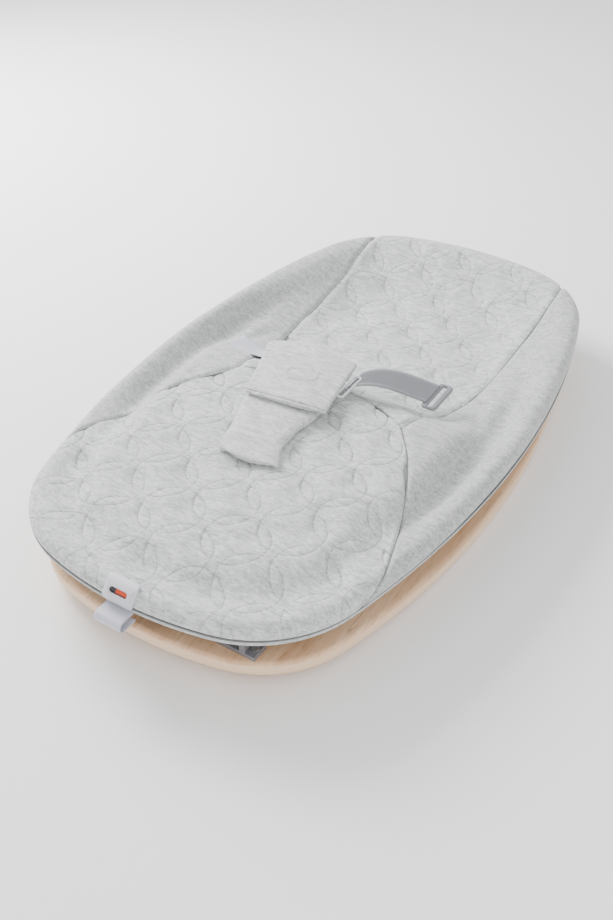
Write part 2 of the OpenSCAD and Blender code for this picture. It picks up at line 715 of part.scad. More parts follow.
module belt_right() color("darkgray") {
    low = adjuster_z + adjuster_t / 2 - rim_h;
    loft([for (i = [0:12]) let (t = i / 12)
        belt_loop(belt_x + (adjuster_x - belt_x) * t, belt_u + belt_shift * t,
                  rim_h + wrap_h + 2.4 + (low - wrap_h - 2.4) * t + belt_rise * sin(180 * t))]);
}

// The left ribbon runs from the wrap up over the left wing
ribbon_from = -104;
ribbon_to = -160;
ribbon_u = 384;
module belt_left() color("lavender") loft([for (i = [0:6]) let (t = i / 6, x = ribbon_from + (ribbon_to - ribbon_from) * t)
    belt_loop(x, ribbon_u + ribbon_shift * t, wing_top(x, ribbon_u) + 2.5 + 3 * (1 - t))]);
ribbon_shift = 24;

// Height of the wing's upper face over its own width
function wing_top(x, u) =
    let (x1 = half_w(u, inner), x0 = seam(u), t = max(0, min(1, (abs(x) - x0) / (x1 - x0))))
    pad_z(x, u) + wing_bulge * pow(sin(180 * t), 0.7);

adjuster_w = 18;
adjuster_t = 5;
adjuster_x = 98;
belt_shift = 40;
slot_w = 3.6;
// The slider lies on the wing, whose upper face is highest under its outer edge
adjuster_z = max([for (x = [0, adjuster_w / 2, adjuster_w], du = [-belt_w / 2, 0, belt_w / 2])
    wing_top(adjuster_x + x, belt_u + belt_shift + du)]) + adjuster_t / 2 + 3 * soft_gap;

// A three-bar slider: two slots for the webbing
module belt_adjuster() color("gray") translate([adjuster_x + adjuster_w / 2 + soft_gap, at_u(belt_u + belt_shift), adjuster_z])
    difference() {
        cube([adjuster_w, belt_w + 14, adjuster_t], center = true);
        for (side = [-1, 1]) translate([side * adjuster_w / 4.4, 0, 0])
            cube([slot_w, belt_w + 1, 2 * adjuster_t], center = true);
    }

// The flat ring under the wrap that the right belt is sewn to
module belt_ring() color("gainsboro") translate([belt_x - 10, at_u(belt_u), rim_h + wrap_h + wrap_t + 1.5])
    difference() {
        cube([7, belt_w + 8, 2.4], center = true);
        cube([2.4, belt_w + 1, 5], center = true);
    }

// The folded ribbon at the foot end: a loop that hangs out past the frame
tab_t = 1.2;
tab_fold_r = 6;
tab_in = 2;
tab_drop = 14;
module pull_tab() color("lavender") {
    straight = tab_out - tab_fold_r + tab_in;
    translate([0, at_u(-tab_out + tab_fold_r), rim_h - tab_drop]) difference() {
        union() {
            bar_x(2 * tab_fold_r, tab_w);
            translate([-tab_w / 2, 0, -tab_fold_r]) cube([tab_w, straight, 2 * tab_fold_r]);
        }
        bar_x(2 * (tab_fold_r - tab_t), tab_w + 2);
        translate([-tab_w, 0, -tab_fold_r + tab_t]) cube([2 * tab_w, straight - tab_t, 2 * (tab_fold_r - tab_t)]);
    }
}

rocker_ring();
ring_grip_pads();
hinge_bracket();  // hinge_bracket_right
mirror([1, 0, 0]) hinge_bracket();  // hinge_bracket_left
recline_rack();  // recline_rack_right
mirror([1, 0, 0]) recline_rack();  // recline_rack_left
stabiliser_mount();  // foot_end_stabiliser_mount
at_head_end() stabiliser_mount();  // head_end_stabiliser_mount
mounting_screws();
stabiliser_foot();  // foot_end_stabiliser
stabiliser_sole();  // foot_end_stabiliser_sole
stabiliser_pin();  // foot_end_stabiliser_pin
at_head_end() stabiliser_foot();  // head_end_stabiliser
at_head_end() stabiliser_sole();  // head_end_stabiliser_sole
at_head_end() stabiliser_pin();  // head_end_stabiliser_pin
foot_hoop_tube();
head_hoop_tube();
side_connector();  // side_connector_right
mirror([1, 0, 0]) side_connector();  // side_connector_left
hinge_lug();  // hinge_lug_right
mirror([1, 0, 0]) hinge_lug();  // hinge_lug_left
hinge_pins();
connector_rivets();
lock_housing();
lock_bezel();
lock_slider();
lock_housing_screws();
prop_leg();  // prop_leg_right
mirror([1, 0, 0]) prop_leg();  // prop_leg_left
prop_cross_bar();
prop_knuckle();  // prop_knuckle_right
mirror([1, 0, 0]) prop_knuckle();  // prop_knuckle_left
prop_shoe();  // prop_shoe_right
mirror([1, 0, 0]) prop_shoe();  // prop_shoe_left
prop_glides();
prop_pivot_pins();
foot_end_sleeves();
side_sleeves();  // side_sleeves_right
mirror([1, 0, 0]) side_sleeves();  // side_sleeves_left
head_corner_sleeves();
head_end_sleeve();
sling();
seat_quilt();
back_quilt();
side_wing();  // side_wing_right
mirror([1, 0, 0]) side_wing();  // side_wing_left
crotch_strap();
crotch_wrap();
belt_left();
belt_right();
belt_ring();
belt_adjuster();
pull_tab();
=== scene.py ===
import bpy
import json
import math
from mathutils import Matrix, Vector, noise

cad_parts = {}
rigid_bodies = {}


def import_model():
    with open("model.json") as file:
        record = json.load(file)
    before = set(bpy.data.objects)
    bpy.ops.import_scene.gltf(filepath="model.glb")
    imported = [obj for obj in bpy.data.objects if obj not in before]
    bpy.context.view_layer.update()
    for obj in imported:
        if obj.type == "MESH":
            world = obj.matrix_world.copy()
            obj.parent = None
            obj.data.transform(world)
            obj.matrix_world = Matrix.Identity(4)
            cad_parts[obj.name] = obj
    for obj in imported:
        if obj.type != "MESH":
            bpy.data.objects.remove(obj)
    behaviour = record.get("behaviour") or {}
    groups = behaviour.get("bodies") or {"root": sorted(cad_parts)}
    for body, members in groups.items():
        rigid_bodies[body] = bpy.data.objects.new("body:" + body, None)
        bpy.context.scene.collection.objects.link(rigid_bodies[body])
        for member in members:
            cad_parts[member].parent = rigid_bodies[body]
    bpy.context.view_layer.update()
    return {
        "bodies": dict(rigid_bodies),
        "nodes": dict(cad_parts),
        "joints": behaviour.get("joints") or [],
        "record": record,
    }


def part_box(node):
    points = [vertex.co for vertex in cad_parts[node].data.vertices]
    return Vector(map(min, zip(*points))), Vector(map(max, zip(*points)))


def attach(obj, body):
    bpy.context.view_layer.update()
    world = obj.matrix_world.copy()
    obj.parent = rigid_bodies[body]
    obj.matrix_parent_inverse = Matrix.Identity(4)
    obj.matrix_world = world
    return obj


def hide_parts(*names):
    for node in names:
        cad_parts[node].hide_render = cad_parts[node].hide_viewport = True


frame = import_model()


# ---- camera, light and floor ----
cameraSetup = {"place": (0.4577, -0.788, 0.726), "target": (0.0366, -0.1143, 0.078), "lens": 39.13}
lightSetup = {
    "key": {"place": (-1.5, 0.35, 1.1), "size": 0.9, "power": 70},
    "fill": {"place": (1.3, -1.2, 1.3), "size": 1.8, "power": 14},
}
worldStrength = 1.14
floorSetup = {"size": 60, "color": (0.99, 0.99, 0.99, 1)}


def deselectAll():
    for obj in bpy.context.selected_objects:
        obj.select_set(False)


def lookAt(obj, target):
    away = Vector(target) - Vector(obj.location)
    obj.rotation_euler = away.to_track_quat("-Z", "Y").to_euler()


def makeCamera():
    deselectAll()
    bpy.ops.object.camera_add(location=cameraSetup["place"])
    camera = bpy.context.active_object
    camera.name = "camera"
    camera.data.lens = cameraSetup["lens"]
    camera.data.sensor_width = 36
    lookAt(camera, cameraSetup["target"])
    bpy.context.scene.camera = camera


def makeLights():
    for name, light in lightSetup.items():
        deselectAll()
        bpy.ops.object.light_add(type="AREA", location=light["place"])
        lamp = bpy.context.active_object
        lamp.name = name + "_light"
        lamp.data.size = light["size"]
        lamp.data.energy = light["power"]
        lookAt(lamp, (0, 0, 0))
    world = bpy.data.worlds.new("studio")
    world.use_nodes = True
    world.node_tree.nodes["Background"].inputs["Color"].default_value = (1, 1, 1, 1)
    world.node_tree.nodes["Background"].inputs["Strength"].default_value = worldStrength
    bpy.context.scene.world = world


makeCamera()
makeLights()
print("camera and lights are set")


# ---- the seat's outline: three arcs a quarter, and places along it ----
seatShape = {"length": 0.750, "width": 0.440, "sideRadius": 1.0, "endRadius": 0.380, "cornerRadius": 0.125}
rimRadius = 0.012
coverRadius = 0.0124
sleeveLow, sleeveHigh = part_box("head_end_sleeve")
rimZ = (sleeveLow[2] + sleeveHigh[2]) / 2
footY = sleeveHigh[1] - seatShape["length"]
seatLength = seatShape["length"]


def clamp(value, low=0.0, high=1.0):
    return max(low, min(high, value))


def ramp(value, start, end):
    t = clamp((value - start) / (end - start))
    return t * t * (3 - 2 * t)


def bell(value, middle, spread):
    return math.exp(-(((value - middle) / spread) ** 2))


def circleMeet(p, rp, q, rq):
    gap = math.hypot(q[0] - p[0], q[1] - p[1])
    along = (rp * rp - rq * rq + gap * gap) / (2 * gap)
    off = math.sqrt(max(0.0, rp * rp - along * along))
    ex, ey = (q[0] - p[0]) / gap, (q[1] - p[1]) / gap
    side = -1 if ex > 0 else 1
    return (p[0] + along * ex - side * off * ey, p[1] + along * ey + side * off * ex)


sideCentre = (seatShape["width"] / 2 - seatShape["sideRadius"], seatLength / 2)
footCentre = (0.0, seatShape["endRadius"])
cornerCentre = circleMeet(sideCentre, seatShape["sideRadius"] - seatShape["cornerRadius"],
                          footCentre, seatShape["endRadius"] - seatShape["cornerRadius"])
footTurn = math.atan2(cornerCentre[1] - footCentre[1], cornerCentre[0] - footCentre[0])
sideTurn = math.atan2(cornerCentre[1] - sideCentre[1], cornerCentre[0] - sideCentre[0])


# The outline as arcs (centre x, centre v, radius, start, end), from the foot tip round by the right
def outlineArcs():
    quarter = math.pi / 2
    cx, cv = cornerCentre
    end, side, corner = seatShape["endRadius"], seatShape["sideRadius"], seatShape["cornerRadius"]
    right = [
        (0, footCentre[1], end, -quarter, footTurn),
        (cx, cv, corner, footTurn, sideTurn),
        (sideCentre[0], sideCentre[1], side, sideTurn, -sideTurn),
        (cx, seatLength - cv, corner, -sideTurn, -footTurn),
        (0, seatLength - footCentre[1], end, -footTurn, quarter),
    ]
    left = [(-x, v, r, math.pi - b, math.pi - a) for x, v, r, a, b in reversed(right)]
    return right + left


outline = outlineArcs()
arcLengths = [(r - rimRadius) * (b - a) for x, v, r, a, b in outline]
outlineLength = sum(arcLengths)


# Place at t (0 at the foot tip, 0.5 at the head) on the outline moved in by inset, and its way out
def onOutline(t, inset):
    left = (t % 1.0) * outlineLength
    for (x, v, r, a, b), length in zip(outline, arcLengths):
        if left <= length:
            break
        left -= length
    turn = a + (b - a) * min(1.0, left / length)
    nx, nv = math.cos(turn), math.sin(turn)
    return x + (r - inset) * nx, v + (r - inset) * nv, nx, nv


# How far inside the outline a place is, with the way out and the frame's line beside it
def edgeAt(x, v):
    sx = -1 if x < 0 else 1
    far = v > seatLength / 2
    px, pv = abs(x), seatLength - v if far else v
    found = []
    if math.atan2(pv - footCentre[1], px) <= footTurn or pv >= footCentre[1]:
        found.append((footCentre, seatShape["endRadius"]))
    if math.atan2(pv - sideCentre[1], px - sideCentre[0]) >= sideTurn:
        found.append((sideCentre, seatShape["sideRadius"]))
    if not found:
        found.append((cornerCentre, seatShape["cornerRadius"]))
    best = None
    for centre, radius in found:
        reach = math.hypot(px - centre[0], pv - centre[1])
        if best is None or radius - reach < best[0]:
            best = (radius - reach, centre, radius, reach)
    inset, centre, radius, reach = best
    nx, nv = (px - centre[0]) / max(reach, 1e-6), (pv - centre[1]) / max(reach, 1e-6)
    lx, lv = centre[0] + (radius - rimRadius) * nx, centre[1] + (radius - rimRadius) * nv
    if far:
        nv, lv = -nv, seatLength - lv
    return inset, sx * nx, nv, sx * lx, lv


# Stitched circles that overlap in leaf shapes: one set of leaves is drawn in hard, the other faint
quiltShape = {"pitch": 0.037, "radius": 0.032, "from": 0.083, "puff": 0.0016, "leaf": 0.0017, "faint": 0.0004,
              "fadeFrom": 0.004, "fadeTo": 0.026}


# ---- shader helpers ----
def addNode(tree, kind, inputs=None, **settings):
    made = tree.nodes.new("ShaderNode" + kind)
    for key, value in settings.items():
        setattr(made, key, value)
    for key, value in (inputs or {}).items():
        if isinstance(value, bpy.types.NodeSocket):
            tree.links.new(value, made.inputs[key])
        else:
            made.inputs[key].default_value = value
    return made


def calc(tree, operation, first, second=0.0):
    return addNode(tree, "Math", {0: first, 1: second}, operation=operation).outputs[0]


def blendColor(tree, amount, first, second):
    return addNode(tree, "Mix", {0: amount, 6: first, 7: second}, data_type="RGBA").outputs[2]


def objectCoords(tree, scale=(1, 1, 1), turn=(0, 0, 0)):
    coords = addNode(tree, "TexCoord").outputs["Object"]
    return addNode(tree, "Mapping", {"Vector": coords, "Scale": scale, "Rotation": turn}).outputs["Vector"]


def noiseValue(tree, coords, scale, detail=2.0):
    return addNode(tree, "TexNoise", {"Vector": coords, "Scale": scale, "Detail": detail}).outputs["Fac"]


def stretch(tree, value, low, high):
    return addNode(tree, "MapRange", {"Value": value, "From Min": low, "From Max": high}).outputs["Result"]


def newGroup(name, inputs, outputs):
    group = bpy.data.node_groups.new(name, "ShaderNodeTree")
    for label, kind, value in inputs:
        socket = group.interface.new_socket(name=label, in_out="INPUT", socket_type="NodeSocket" + kind)
        socket.default_value = value
    for label, kind in outputs:
        group.interface.new_socket(name=label, in_out="OUTPUT", socket_type="NodeSocket" + kind)
    given = group.nodes.new("NodeGroupInput").outputs
    result = group.nodes.new("NodeGroupOutput").inputs
    return group, given, result


def newMaterial(name, roughness, **shaderInputs):
    material = bpy.data.materials.new(name)
    material.use_nodes = True
    shader = material.node_tree.nodes["Principled BSDF"]
    shader.inputs["Roughness"].default_value = roughness
    for key, value in shaderInputs.items():
        shader.inputs[key.replace("_", " ")].default_value = value
    return material, material.node_tree, shader


def addBump(tree, shader, height, strength, distance):
    bump = addNode(tree, "Bump", {"Height": height, "Strength": strength, "Distance": distance})
    tree.links.new(bump.outputs["Normal"], shader.inputs["Normal"])


# Heathered jersey: short pale and dark fibres, soft patches and a fine knit
def makeMelangeGroup():
    group, given, result = newGroup(
        "melange_jersey",
        [("Pale", "Color", (0.6, 0.6, 0.6, 1)), ("Deep", "Color", (0.4, 0.4, 0.4, 1)), ("Patches", "Float", 0.2)],
        [("Color", "Color"), ("Height", "Float")],
    )
    streaks = objectCoords(group, scale=(0.28, 1, 1), turn=(0, 0, math.radians(-12)))
    plain = objectCoords(group)
    fibres = noiseValue(group, streaks, 620, 4)
    flecks = noiseValue(group, streaks, 210, 2)
    patches = noiseValue(group, plain, 16, 2)
    knit = noiseValue(group, plain, 1500, 1)
    mixed = calc(group, "ADD", calc(group, "MULTIPLY", fibres, 0.62), calc(group, "MULTIPLY", flecks, 0.38))
    fleck = stretch(group, mixed, 0.36, 0.66)
    weight = calc(group, "ADD", fleck, calc(group, "MULTIPLY", calc(group, "SUBTRACT", patches, 0.5), given["Patches"]))
    group.links.new(blendColor(group, weight, given["Deep"], given["Pale"]), result["Color"])
    height = calc(group, "ADD", calc(group, "MULTIPLY", mixed, 0.6), calc(group, "MULTIPLY", knit, 0.4))
    group.links.new(height, result["Height"])
    return group


# Moulded plastic or rolled metal: faint mottling for the roughness and a fine skin
def makeSkinGroup():
    group, given, result = newGroup(
        "worked_skin",
        [("Roughness", "Float", 0.5), ("Spread", "Float", 0.2), ("Scale", "Float", 300.0)],
        [("Roughness", "Float"), ("Height", "Float")],
    )
    plain = objectCoords(group)
    broad = noiseValue(group, plain, 35, 3)
    fine = addNode(group, "TexNoise", {"Vector": plain, "Scale": given["Scale"], "Detail": 3.0}).outputs["Fac"]
    shift = calc(group, "MULTIPLY", calc(group, "SUBTRACT", broad, 0.5), given["Spread"])
    group.links.new(calc(group, "ADD", given["Roughness"], shift), result["Roughness"])
    group.links.new(fine, result["Height"])
    return group


melangeGroup = makeMelangeGroup()
skinGroup = makeSkinGroup()


# Distance from the quilting's stitched circles, in metres, and a mask that breaks them into stitches
def quiltStitches(tree):
    place = addNode(tree, "SeparateXYZ", {"Vector": addNode(tree, "TexCoord").outputs["Object"]}).outputs
    across = calc(tree, "DIVIDE", place["X"], quiltShape["pitch"])
    along = calc(tree, "DIVIDE", calc(tree, "SUBTRACT", place["Y"], footY + quiltShape["from"]), quiltShape["pitch"])
    first = calc(tree, "MULTIPLY", calc(tree, "ADD", along, across), 0.5)
    second = calc(tree, "MULTIPLY", calc(tree, "SUBTRACT", along, across), 0.5)

    def fromCentre(value, shift):
        part = calc(tree, "FRACT", calc(tree, "ADD", value, shift))
        return calc(tree, "ABSOLUTE", calc(tree, "SUBTRACT", part, 0.5))

    near, beside = fromCentre(first, 0.5), fromCentre(second, 0.0)
    cell = quiltShape["pitch"] * math.sqrt(2)
    radius = quiltShape["radius"] / cell
    lines = []
    for x, y in ((near, beside), (calc(tree, "SUBTRACT", 1.0, near), beside), (near, calc(tree, "SUBTRACT", 1.0, beside))):
        reach = calc(tree, "SQRT", calc(tree, "ADD", calc(tree, "MULTIPLY", x, x), calc(tree, "MULTIPLY", y, y)))
        lines.append(calc(tree, "ABSOLUTE", calc(tree, "SUBTRACT", reach, radius)))
    gap = calc(tree, "MULTIPLY", calc(tree, "MINIMUM", calc(tree, "MINIMUM", lines[0], lines[1]), lines[2]), cell)
    line = stretch(tree, gap, 0.0011, 0.0002)
    hole = noiseValue(tree, objectCoords(tree), 420, 0)
    return line, calc(tree, "MULTIPLY", line, stretch(tree, hole, 0.42, 0.58))


def jerseyMaterial(name, pale, deep, patches, quilted=False):
    material, tree, shader = newMaterial(name, 0.92, Sheen_Weight=0.25, Sheen_Roughness=0.6, Specular_IOR_Level=0.2)
    cloth = addNode(tree, "Group", {}, node_tree=melangeGroup)
    cloth.inputs["Pale"].default_value = pale
    cloth.inputs["Deep"].default_value = deep
    cloth.inputs["Patches"].default_value = patches
    color, height = cloth.outputs["Color"], cloth.outputs["Height"]
    if quilted:
        line, holes = quiltStitches(tree)
        color = blendColor(tree, calc(tree, "MULTIPLY", holes, 0.40), color, (0.16, 0.165, 0.165, 1))
        height = calc(tree, "SUBTRACT", height, calc(tree, "MULTIPLY", line, 1.3))
    tree.links.new(color, shader.inputs["Base Color"])
    addBump(tree, shader, height, 0.55, 0.0006)
    return material


def workedMaterial(name, color, tint, roughness, spread, scale, bump, **shaderInputs):
    material, tree, shader = newMaterial(name, roughness, **shaderInputs)
    skin = addNode(tree, "Group", {}, node_tree=skinGroup)
    skin.inputs["Roughness"].default_value = roughness
    skin.inputs["Spread"].default_value = spread
    skin.inputs["Scale"].default_value = scale
    tree.links.new(blendColor(tree, skin.outputs["Height"], tint, color), shader.inputs["Base Color"])
    tree.links.new(skin.outputs["Roughness"], shader.inputs["Roughness"])
    addBump(tree, shader, skin.outputs["Height"], bump, 0.0003)
    return material


# Pale beech veneer: long grain, short dark pores and slow bands, with the plies showing on the edge
def makeWood():
    material, tree, shader = newMaterial("beech_ply", 0.42, Specular_IOR_Level=0.4, Coat_Weight=0.12, Coat_Roughness=0.35)
    grainCoords = objectCoords(tree, scale=(1, 0.045, 1))
    poreCoords = objectCoords(tree, scale=(1, 0.09, 1))
    grain = noiseValue(tree, grainCoords, 260, 4)
    bands = noiseValue(tree, grainCoords, 38, 3)
    pores = noiseValue(tree, poreCoords, 520, 2)
    figure = calc(tree, "ADD", calc(tree, "MULTIPLY", grain, 0.45), calc(tree, "MULTIPLY", bands, 0.55))
    wood = blendColor(tree, stretch(tree, figure, 0.35, 0.65), (0.68, 0.40, 0.22, 1), (0.92, 0.63, 0.40, 1))
    poreMask = stretch(tree, pores, 0.60, 0.72)
    top = blendColor(tree, calc(tree, "MULTIPLY", poreMask, 0.55), wood, (0.30, 0.17, 0.085, 1))
    height = addNode(tree, "SeparateXYZ", {"Vector": objectCoords(tree)}).outputs["Z"]
    plies = calc(tree, "SINE", calc(tree, "MULTIPLY", height, 2400))
    plyEdge = blendColor(tree, stretch(tree, plies, -0.4, 1.0), (0.82, 0.56, 0.36, 1), (0.94, 0.70, 0.50, 1))
    up = addNode(tree, "SeparateXYZ", {"Vector": addNode(tree, "NewGeometry").outputs["Normal"]}).outputs["Z"]
    side = stretch(tree, calc(tree, "ABSOLUTE", up), 0.55, 0.25)
    tree.links.new(blendColor(tree, side, top, plyEdge), shader.inputs["Base Color"])
    shade = calc(tree, "ADD", calc(tree, "MULTIPLY", grain, 0.25), 0.32)
    tree.links.new(shade, shader.inputs["Roughness"])
    addBump(tree, shader, calc(tree, "SUBTRACT", grain, poreMask), 0.25, 0.0004)
    return material


jerseyTones = {
    "quilted_jersey_look": {"pale": (0.70, 0.715, 0.71, 1), "deep": (0.36, 0.37, 0.37, 1), "patches": 0.35,
                            "quilted": True},
    "plain_jersey_look": {"pale": (0.60, 0.615, 0.605, 1), "deep": (0.30, 0.31, 0.31, 1), "patches": 0.30},
    "strap_jersey_look": {"pale": (0.69, 0.71, 0.695, 1), "deep": (0.38, 0.395, 0.385, 1), "patches": 0.20},
}
looks = {name: jerseyMaterial(name, **tone) for name, tone in jerseyTones.items()}
looks["wood"] = makeWood()
# Dark seam look: painted shade on the side and waist seam cords; the rim piping and the wrap's hem stitch use it too
looks["thread"] = workedMaterial("seam_thread", (0.20, 0.21, 0.21, 1), (0.12, 0.12, 0.12, 1), 0.85, 0.1, 2500, 0.6)
looks["whiteThread"] = workedMaterial("white_thread", (0.82, 0.82, 0.83, 1), (0.6, 0.6, 0.62, 1), 0.7, 0.1, 2500, 0.6)
looks["webbing"] = workedMaterial("belt_webbing_look", (0.33, 0.34, 0.36, 1), (0.22, 0.23, 0.25, 1), 0.62, 0.15, 1800, 0.7)
looks["ribbon"] = workedMaterial("lilac_ribbon_look", (0.60, 0.60, 0.67, 1), (0.50, 0.50, 0.57, 1), 0.48, 0.12, 1400, 0.5)
looks["adjuster"] = workedMaterial("adjuster_look", (0.24, 0.25, 0.27, 1), (0.17, 0.18, 0.20, 1), 0.35, 0.15, 600, 0.15)
looks["clearLoop"] = workedMaterial("belt_ring_look", (0.60, 0.61, 0.63, 1), (0.5, 0.5, 0.52, 1), 0.3, 0.1, 600, 0.1)
looks["bezel"] = workedMaterial("bezel_look", (0.64, 0.64, 0.70, 1), (0.56, 0.56, 0.62, 1), 0.38, 0.12, 700, 0.15)
looks["orange"] = workedMaterial("orange_slider_look", (0.86, 0.10, 0.02, 1), (0.72, 0.07, 0.015, 1), 0.35, 0.1, 600, 0.1)
looks["greyPlastic"] = workedMaterial("grey_plastic_look", (0.20, 0.20, 0.215, 1), (0.14, 0.14, 0.155, 1), 0.48, 0.2, 500, 0.3)
looks["rubber"] = workedMaterial("grey_rubber_look", (0.09, 0.09, 0.095, 1), (0.05, 0.05, 0.055, 1), 0.8, 0.15, 900, 0.5)
looks["steel"] = workedMaterial("frame_steel_look", (0.56, 0.57, 0.58, 1), (0.44, 0.45, 0.46, 1), 0.3, 0.25, 400, 0.1, Metallic=1.0)
looks["zinc"] = workedMaterial("zinc_look", (0.62, 0.62, 0.60, 1), (0.48, 0.48, 0.46, 1), 0.38, 0.3, 250, 0.2, Metallic=1.0)
looks["sling"] = workedMaterial("sling_cloth_look", (0.30, 0.31, 0.32, 1), (0.20, 0.21, 0.22, 1), 0.85, 0.1, 1500, 0.7)
print("materials are made")


# ---- the cover's surface ----
coverShape = {
    "crown": 0.019, "crownReach": 0.060, "sink": 0.027, "valley": 0.009, "valleyAt": 0.028,
    "waist": 0.366, "sinkEnd": 0.735, "pipingTurn": 1.86,
}
pipingInset = rimRadius - coverShape["pipingTurn"] * rimRadius


def padHeight(x, v, inset):
    d = inset - rimRadius
    seatPart = 1 - ramp(v, 0.325, 0.425)
    past = clamp((v - coverShape["waist"]) / (coverShape["sinkEnd"] - coverShape["waist"]))
    hollow = math.sin(math.pi * past) ** 0.8
    flank = ramp(v, 0.16, 0.27) * (1 - ramp(v, 0.42, 0.56))
    fall = 0.034 - 0.010 * flank + 0.012 * ramp(v, 0.45, 0.60) + 0.022 * ramp(v, 0.62, 0.73)
    bolster = coverRadius * (0.5 + 0.5 * math.cos(math.pi * clamp(d / fall)))
    crown = coverShape["crown"] * seatPart * ramp(d, 0.002, coverShape["crownReach"])
    valley = -coverShape["valley"] * flank * bell(d, coverShape["valleyAt"], 0.013)
    sink = -coverShape["sink"] * hollow * ramp(d, 0.010, 0.100)
    slack = 0.0016 * noise.noise(Vector((x * 14, v * 14, 3.1))) + 0.0008 * noise.noise(Vector((x * 38, v * 38, 7.7)))
    return bolster + crown + valley + sink + slack * ramp(d, 0.0, 0.03)


def coverPoint(x, v, lift=0.0):
    inset, nx, nv, lx, lv = edgeAt(x, v)
    if inset < rimRadius:
        turn = (rimRadius - inset) / rimRadius
        reach = (coverRadius + lift) * math.sin(turn)
        return Vector((lx + nx * reach, footY + lv + nv * reach, rimZ + (coverRadius + lift) * math.cos(turn)))
    return Vector((x, footY + v, rimZ + padHeight(x, v, inset) + lift))


def leafEdge(x, v, odd, slope):
    pitch, radius = quiltShape["pitch"], quiltShape["radius"]
    half = pitch / 2
    i, j = x / pitch, (v - quiltShape["from"]) / pitch
    best = None
    for di in (0, 1):
        for dj in (0, 1):
            k, m = math.floor(i) + di, math.floor(j) + dj
            if (k + m) % 2 != odd:
                continue
            cx, cv = x - k * pitch, v - quiltShape["from"] - m * pitch
            first = math.hypot(cx - half, cv - slope * half)
            second = math.hypot(cx + half, cv + slope * half)
            edge = max(first, second) - radius
            if best is None or edge < best[0]:
                best = (edge, cx, cv)
    return best


def quiltRelief(x, v):
    hard, hx, hv = leafEdge(x, v, 1, 1)
    soft, sx, sv = leafEdge(x, v, 0, -1)
    puff = quiltShape["puff"] * (1 - bell(hard, 0, 0.011)) - 0.0005 * bell(soft, 0, 0.006)
    groove = -quiltShape["leaf"] * bell(hard, 0, 0.0014)
    inside = -0.0007 * ramp(-hard, 0.0, 0.003)
    faint = -quiltShape["faint"] * bell(soft, 0, 0.0016)
    dimple = -0.0020 * math.exp(-(((hx + 0.006) / 0.014) ** 2) - ((hv + 0.004) / 0.016) ** 2)
    pucker = 0.0006 * noise.noise(Vector((x * 110, v * 110, 1.3))) * bell(hard, 0, 0.012)
    wander = 0.0011 * noise.noise(Vector((x * 30, v * 30, 4.4)))
    fade = ramp(edgeAt(x, v)[0], quiltShape["fadeFrom"], quiltShape["fadeTo"])
    return (puff + groove + inside + faint + dimple + pucker + wander) * fade


# ---- seams, as places (x, v) on the right-hand side ----
lowerSeam = [(0.1975, 0.108), (0.190, 0.132), (0.177, 0.178), (0.156, 0.238), (0.131, 0.292), (0.104, 0.330)]
upperSeam = [(0.104, 0.330), (0.113, 0.390), (0.127, 0.475), (0.132, 0.590), (0.136, 0.705), (0.139, 0.745)]


def alongCurve(points, t):
    span = clamp(t) * (len(points) - 1)
    i = min(int(span), len(points) - 2)
    s = span - i
    p = [points[clamp(k, 0, len(points) - 1)] for k in (i - 1, i, i + 1, i + 2)]
    return tuple(
        0.5 * (2 * p[1][c] + (p[2][c] - p[0][c]) * s + (2 * p[0][c] - 5 * p[1][c] + 4 * p[2][c] - p[3][c]) * s * s
               + (3 * p[1][c] - p[0][c] - 3 * p[2][c] + p[3][c]) * s ** 3)
        for c in (0, 1)
    )


def waistLine(a):
    x = 0.104 * (2 * a - 1)
    return x, 0.330 + 0.036 * (1 - abs(2 * a - 1) ** 2.2)


def nearestOnOutline(x, v):
    steps = 800
    places = [i / steps for i in range(steps)]
    return min(places, key=lambda t: math.hypot(onOutline(t, pipingInset)[0] - x, onOutline(t, pipingInset)[1] - v))


footSeamT = nearestOnOutline(0.205, 0.100)
headSeamT = nearestOnOutline(0.140, 0.760)
footCorner = onOutline(footSeamT, pipingInset)[:2]
headCorner = onOutline(headSeamT, pipingInset)[:2]
lowerSeam[0] = footCorner
upperSeam[-1] = headCorner


def mirrored(place):
    return -place[0], place[1]


def coonsPatch(bottom, top, left, right, a, b):
    corners = [bottom(0), bottom(1), top(0), top(1)]
    return tuple(
        (1 - b) * bottom(a)[c] + b * top(a)[c] + (1 - a) * left(b)[c] + a * right(b)[c]
        - ((1 - a) * (1 - b) * corners[0][c] + a * (1 - b) * corners[1][c]
           + (1 - a) * b * corners[2][c] + a * b * corners[3][c])
        for c in (0, 1)
    )


def seatPanelPlace(a, b):
    return coonsPatch(
        lambda s: onOutline(footSeamT * (2 * s - 1), pipingInset)[:2],
        waistLine,
        lambda s: mirrored(alongCurve(lowerSeam, s)),
        lambda s: alongCurve(lowerSeam, s),
        a, b,
    )


def backPanelPlace(a, b):
    return coonsPatch(
        waistLine,
        lambda s: onOutline(1 - headSeamT + (2 * headSeamT - 1) * s, pipingInset)[:2],
        lambda s: mirrored(alongCurve(upperSeam, s)),
        lambda s: alongCurve(upperSeam, s),
        a, b,
    )


def wingPanelPlace(a, b):
    lowerShare = 0.37
    if b < lowerShare:
        inner = alongCurve(lowerSeam, b / lowerShare)
    else:
        inner = alongCurve(upperSeam, (b - lowerShare) / (1 - lowerShare))
    outer = onOutline(footSeamT + (headSeamT - footSeamT) * b, pipingInset)
    return inner[0] + (outer[0] - inner[0]) * a, inner[1] + (outer[1] - inner[1]) * a


# ---- mesh helpers ----
def addGrid(name, across, along):
    deselectAll()
    bpy.ops.mesh.primitive_grid_add(x_subdivisions=across, y_subdivisions=along, size=1)
    obj = bpy.context.active_object
    obj.name = name
    return obj


def moveVertices(obj, place):
    for vertex in obj.data.vertices:
        vertex.co = place(vertex.co.x + 0.5, vertex.co.y + 0.5)


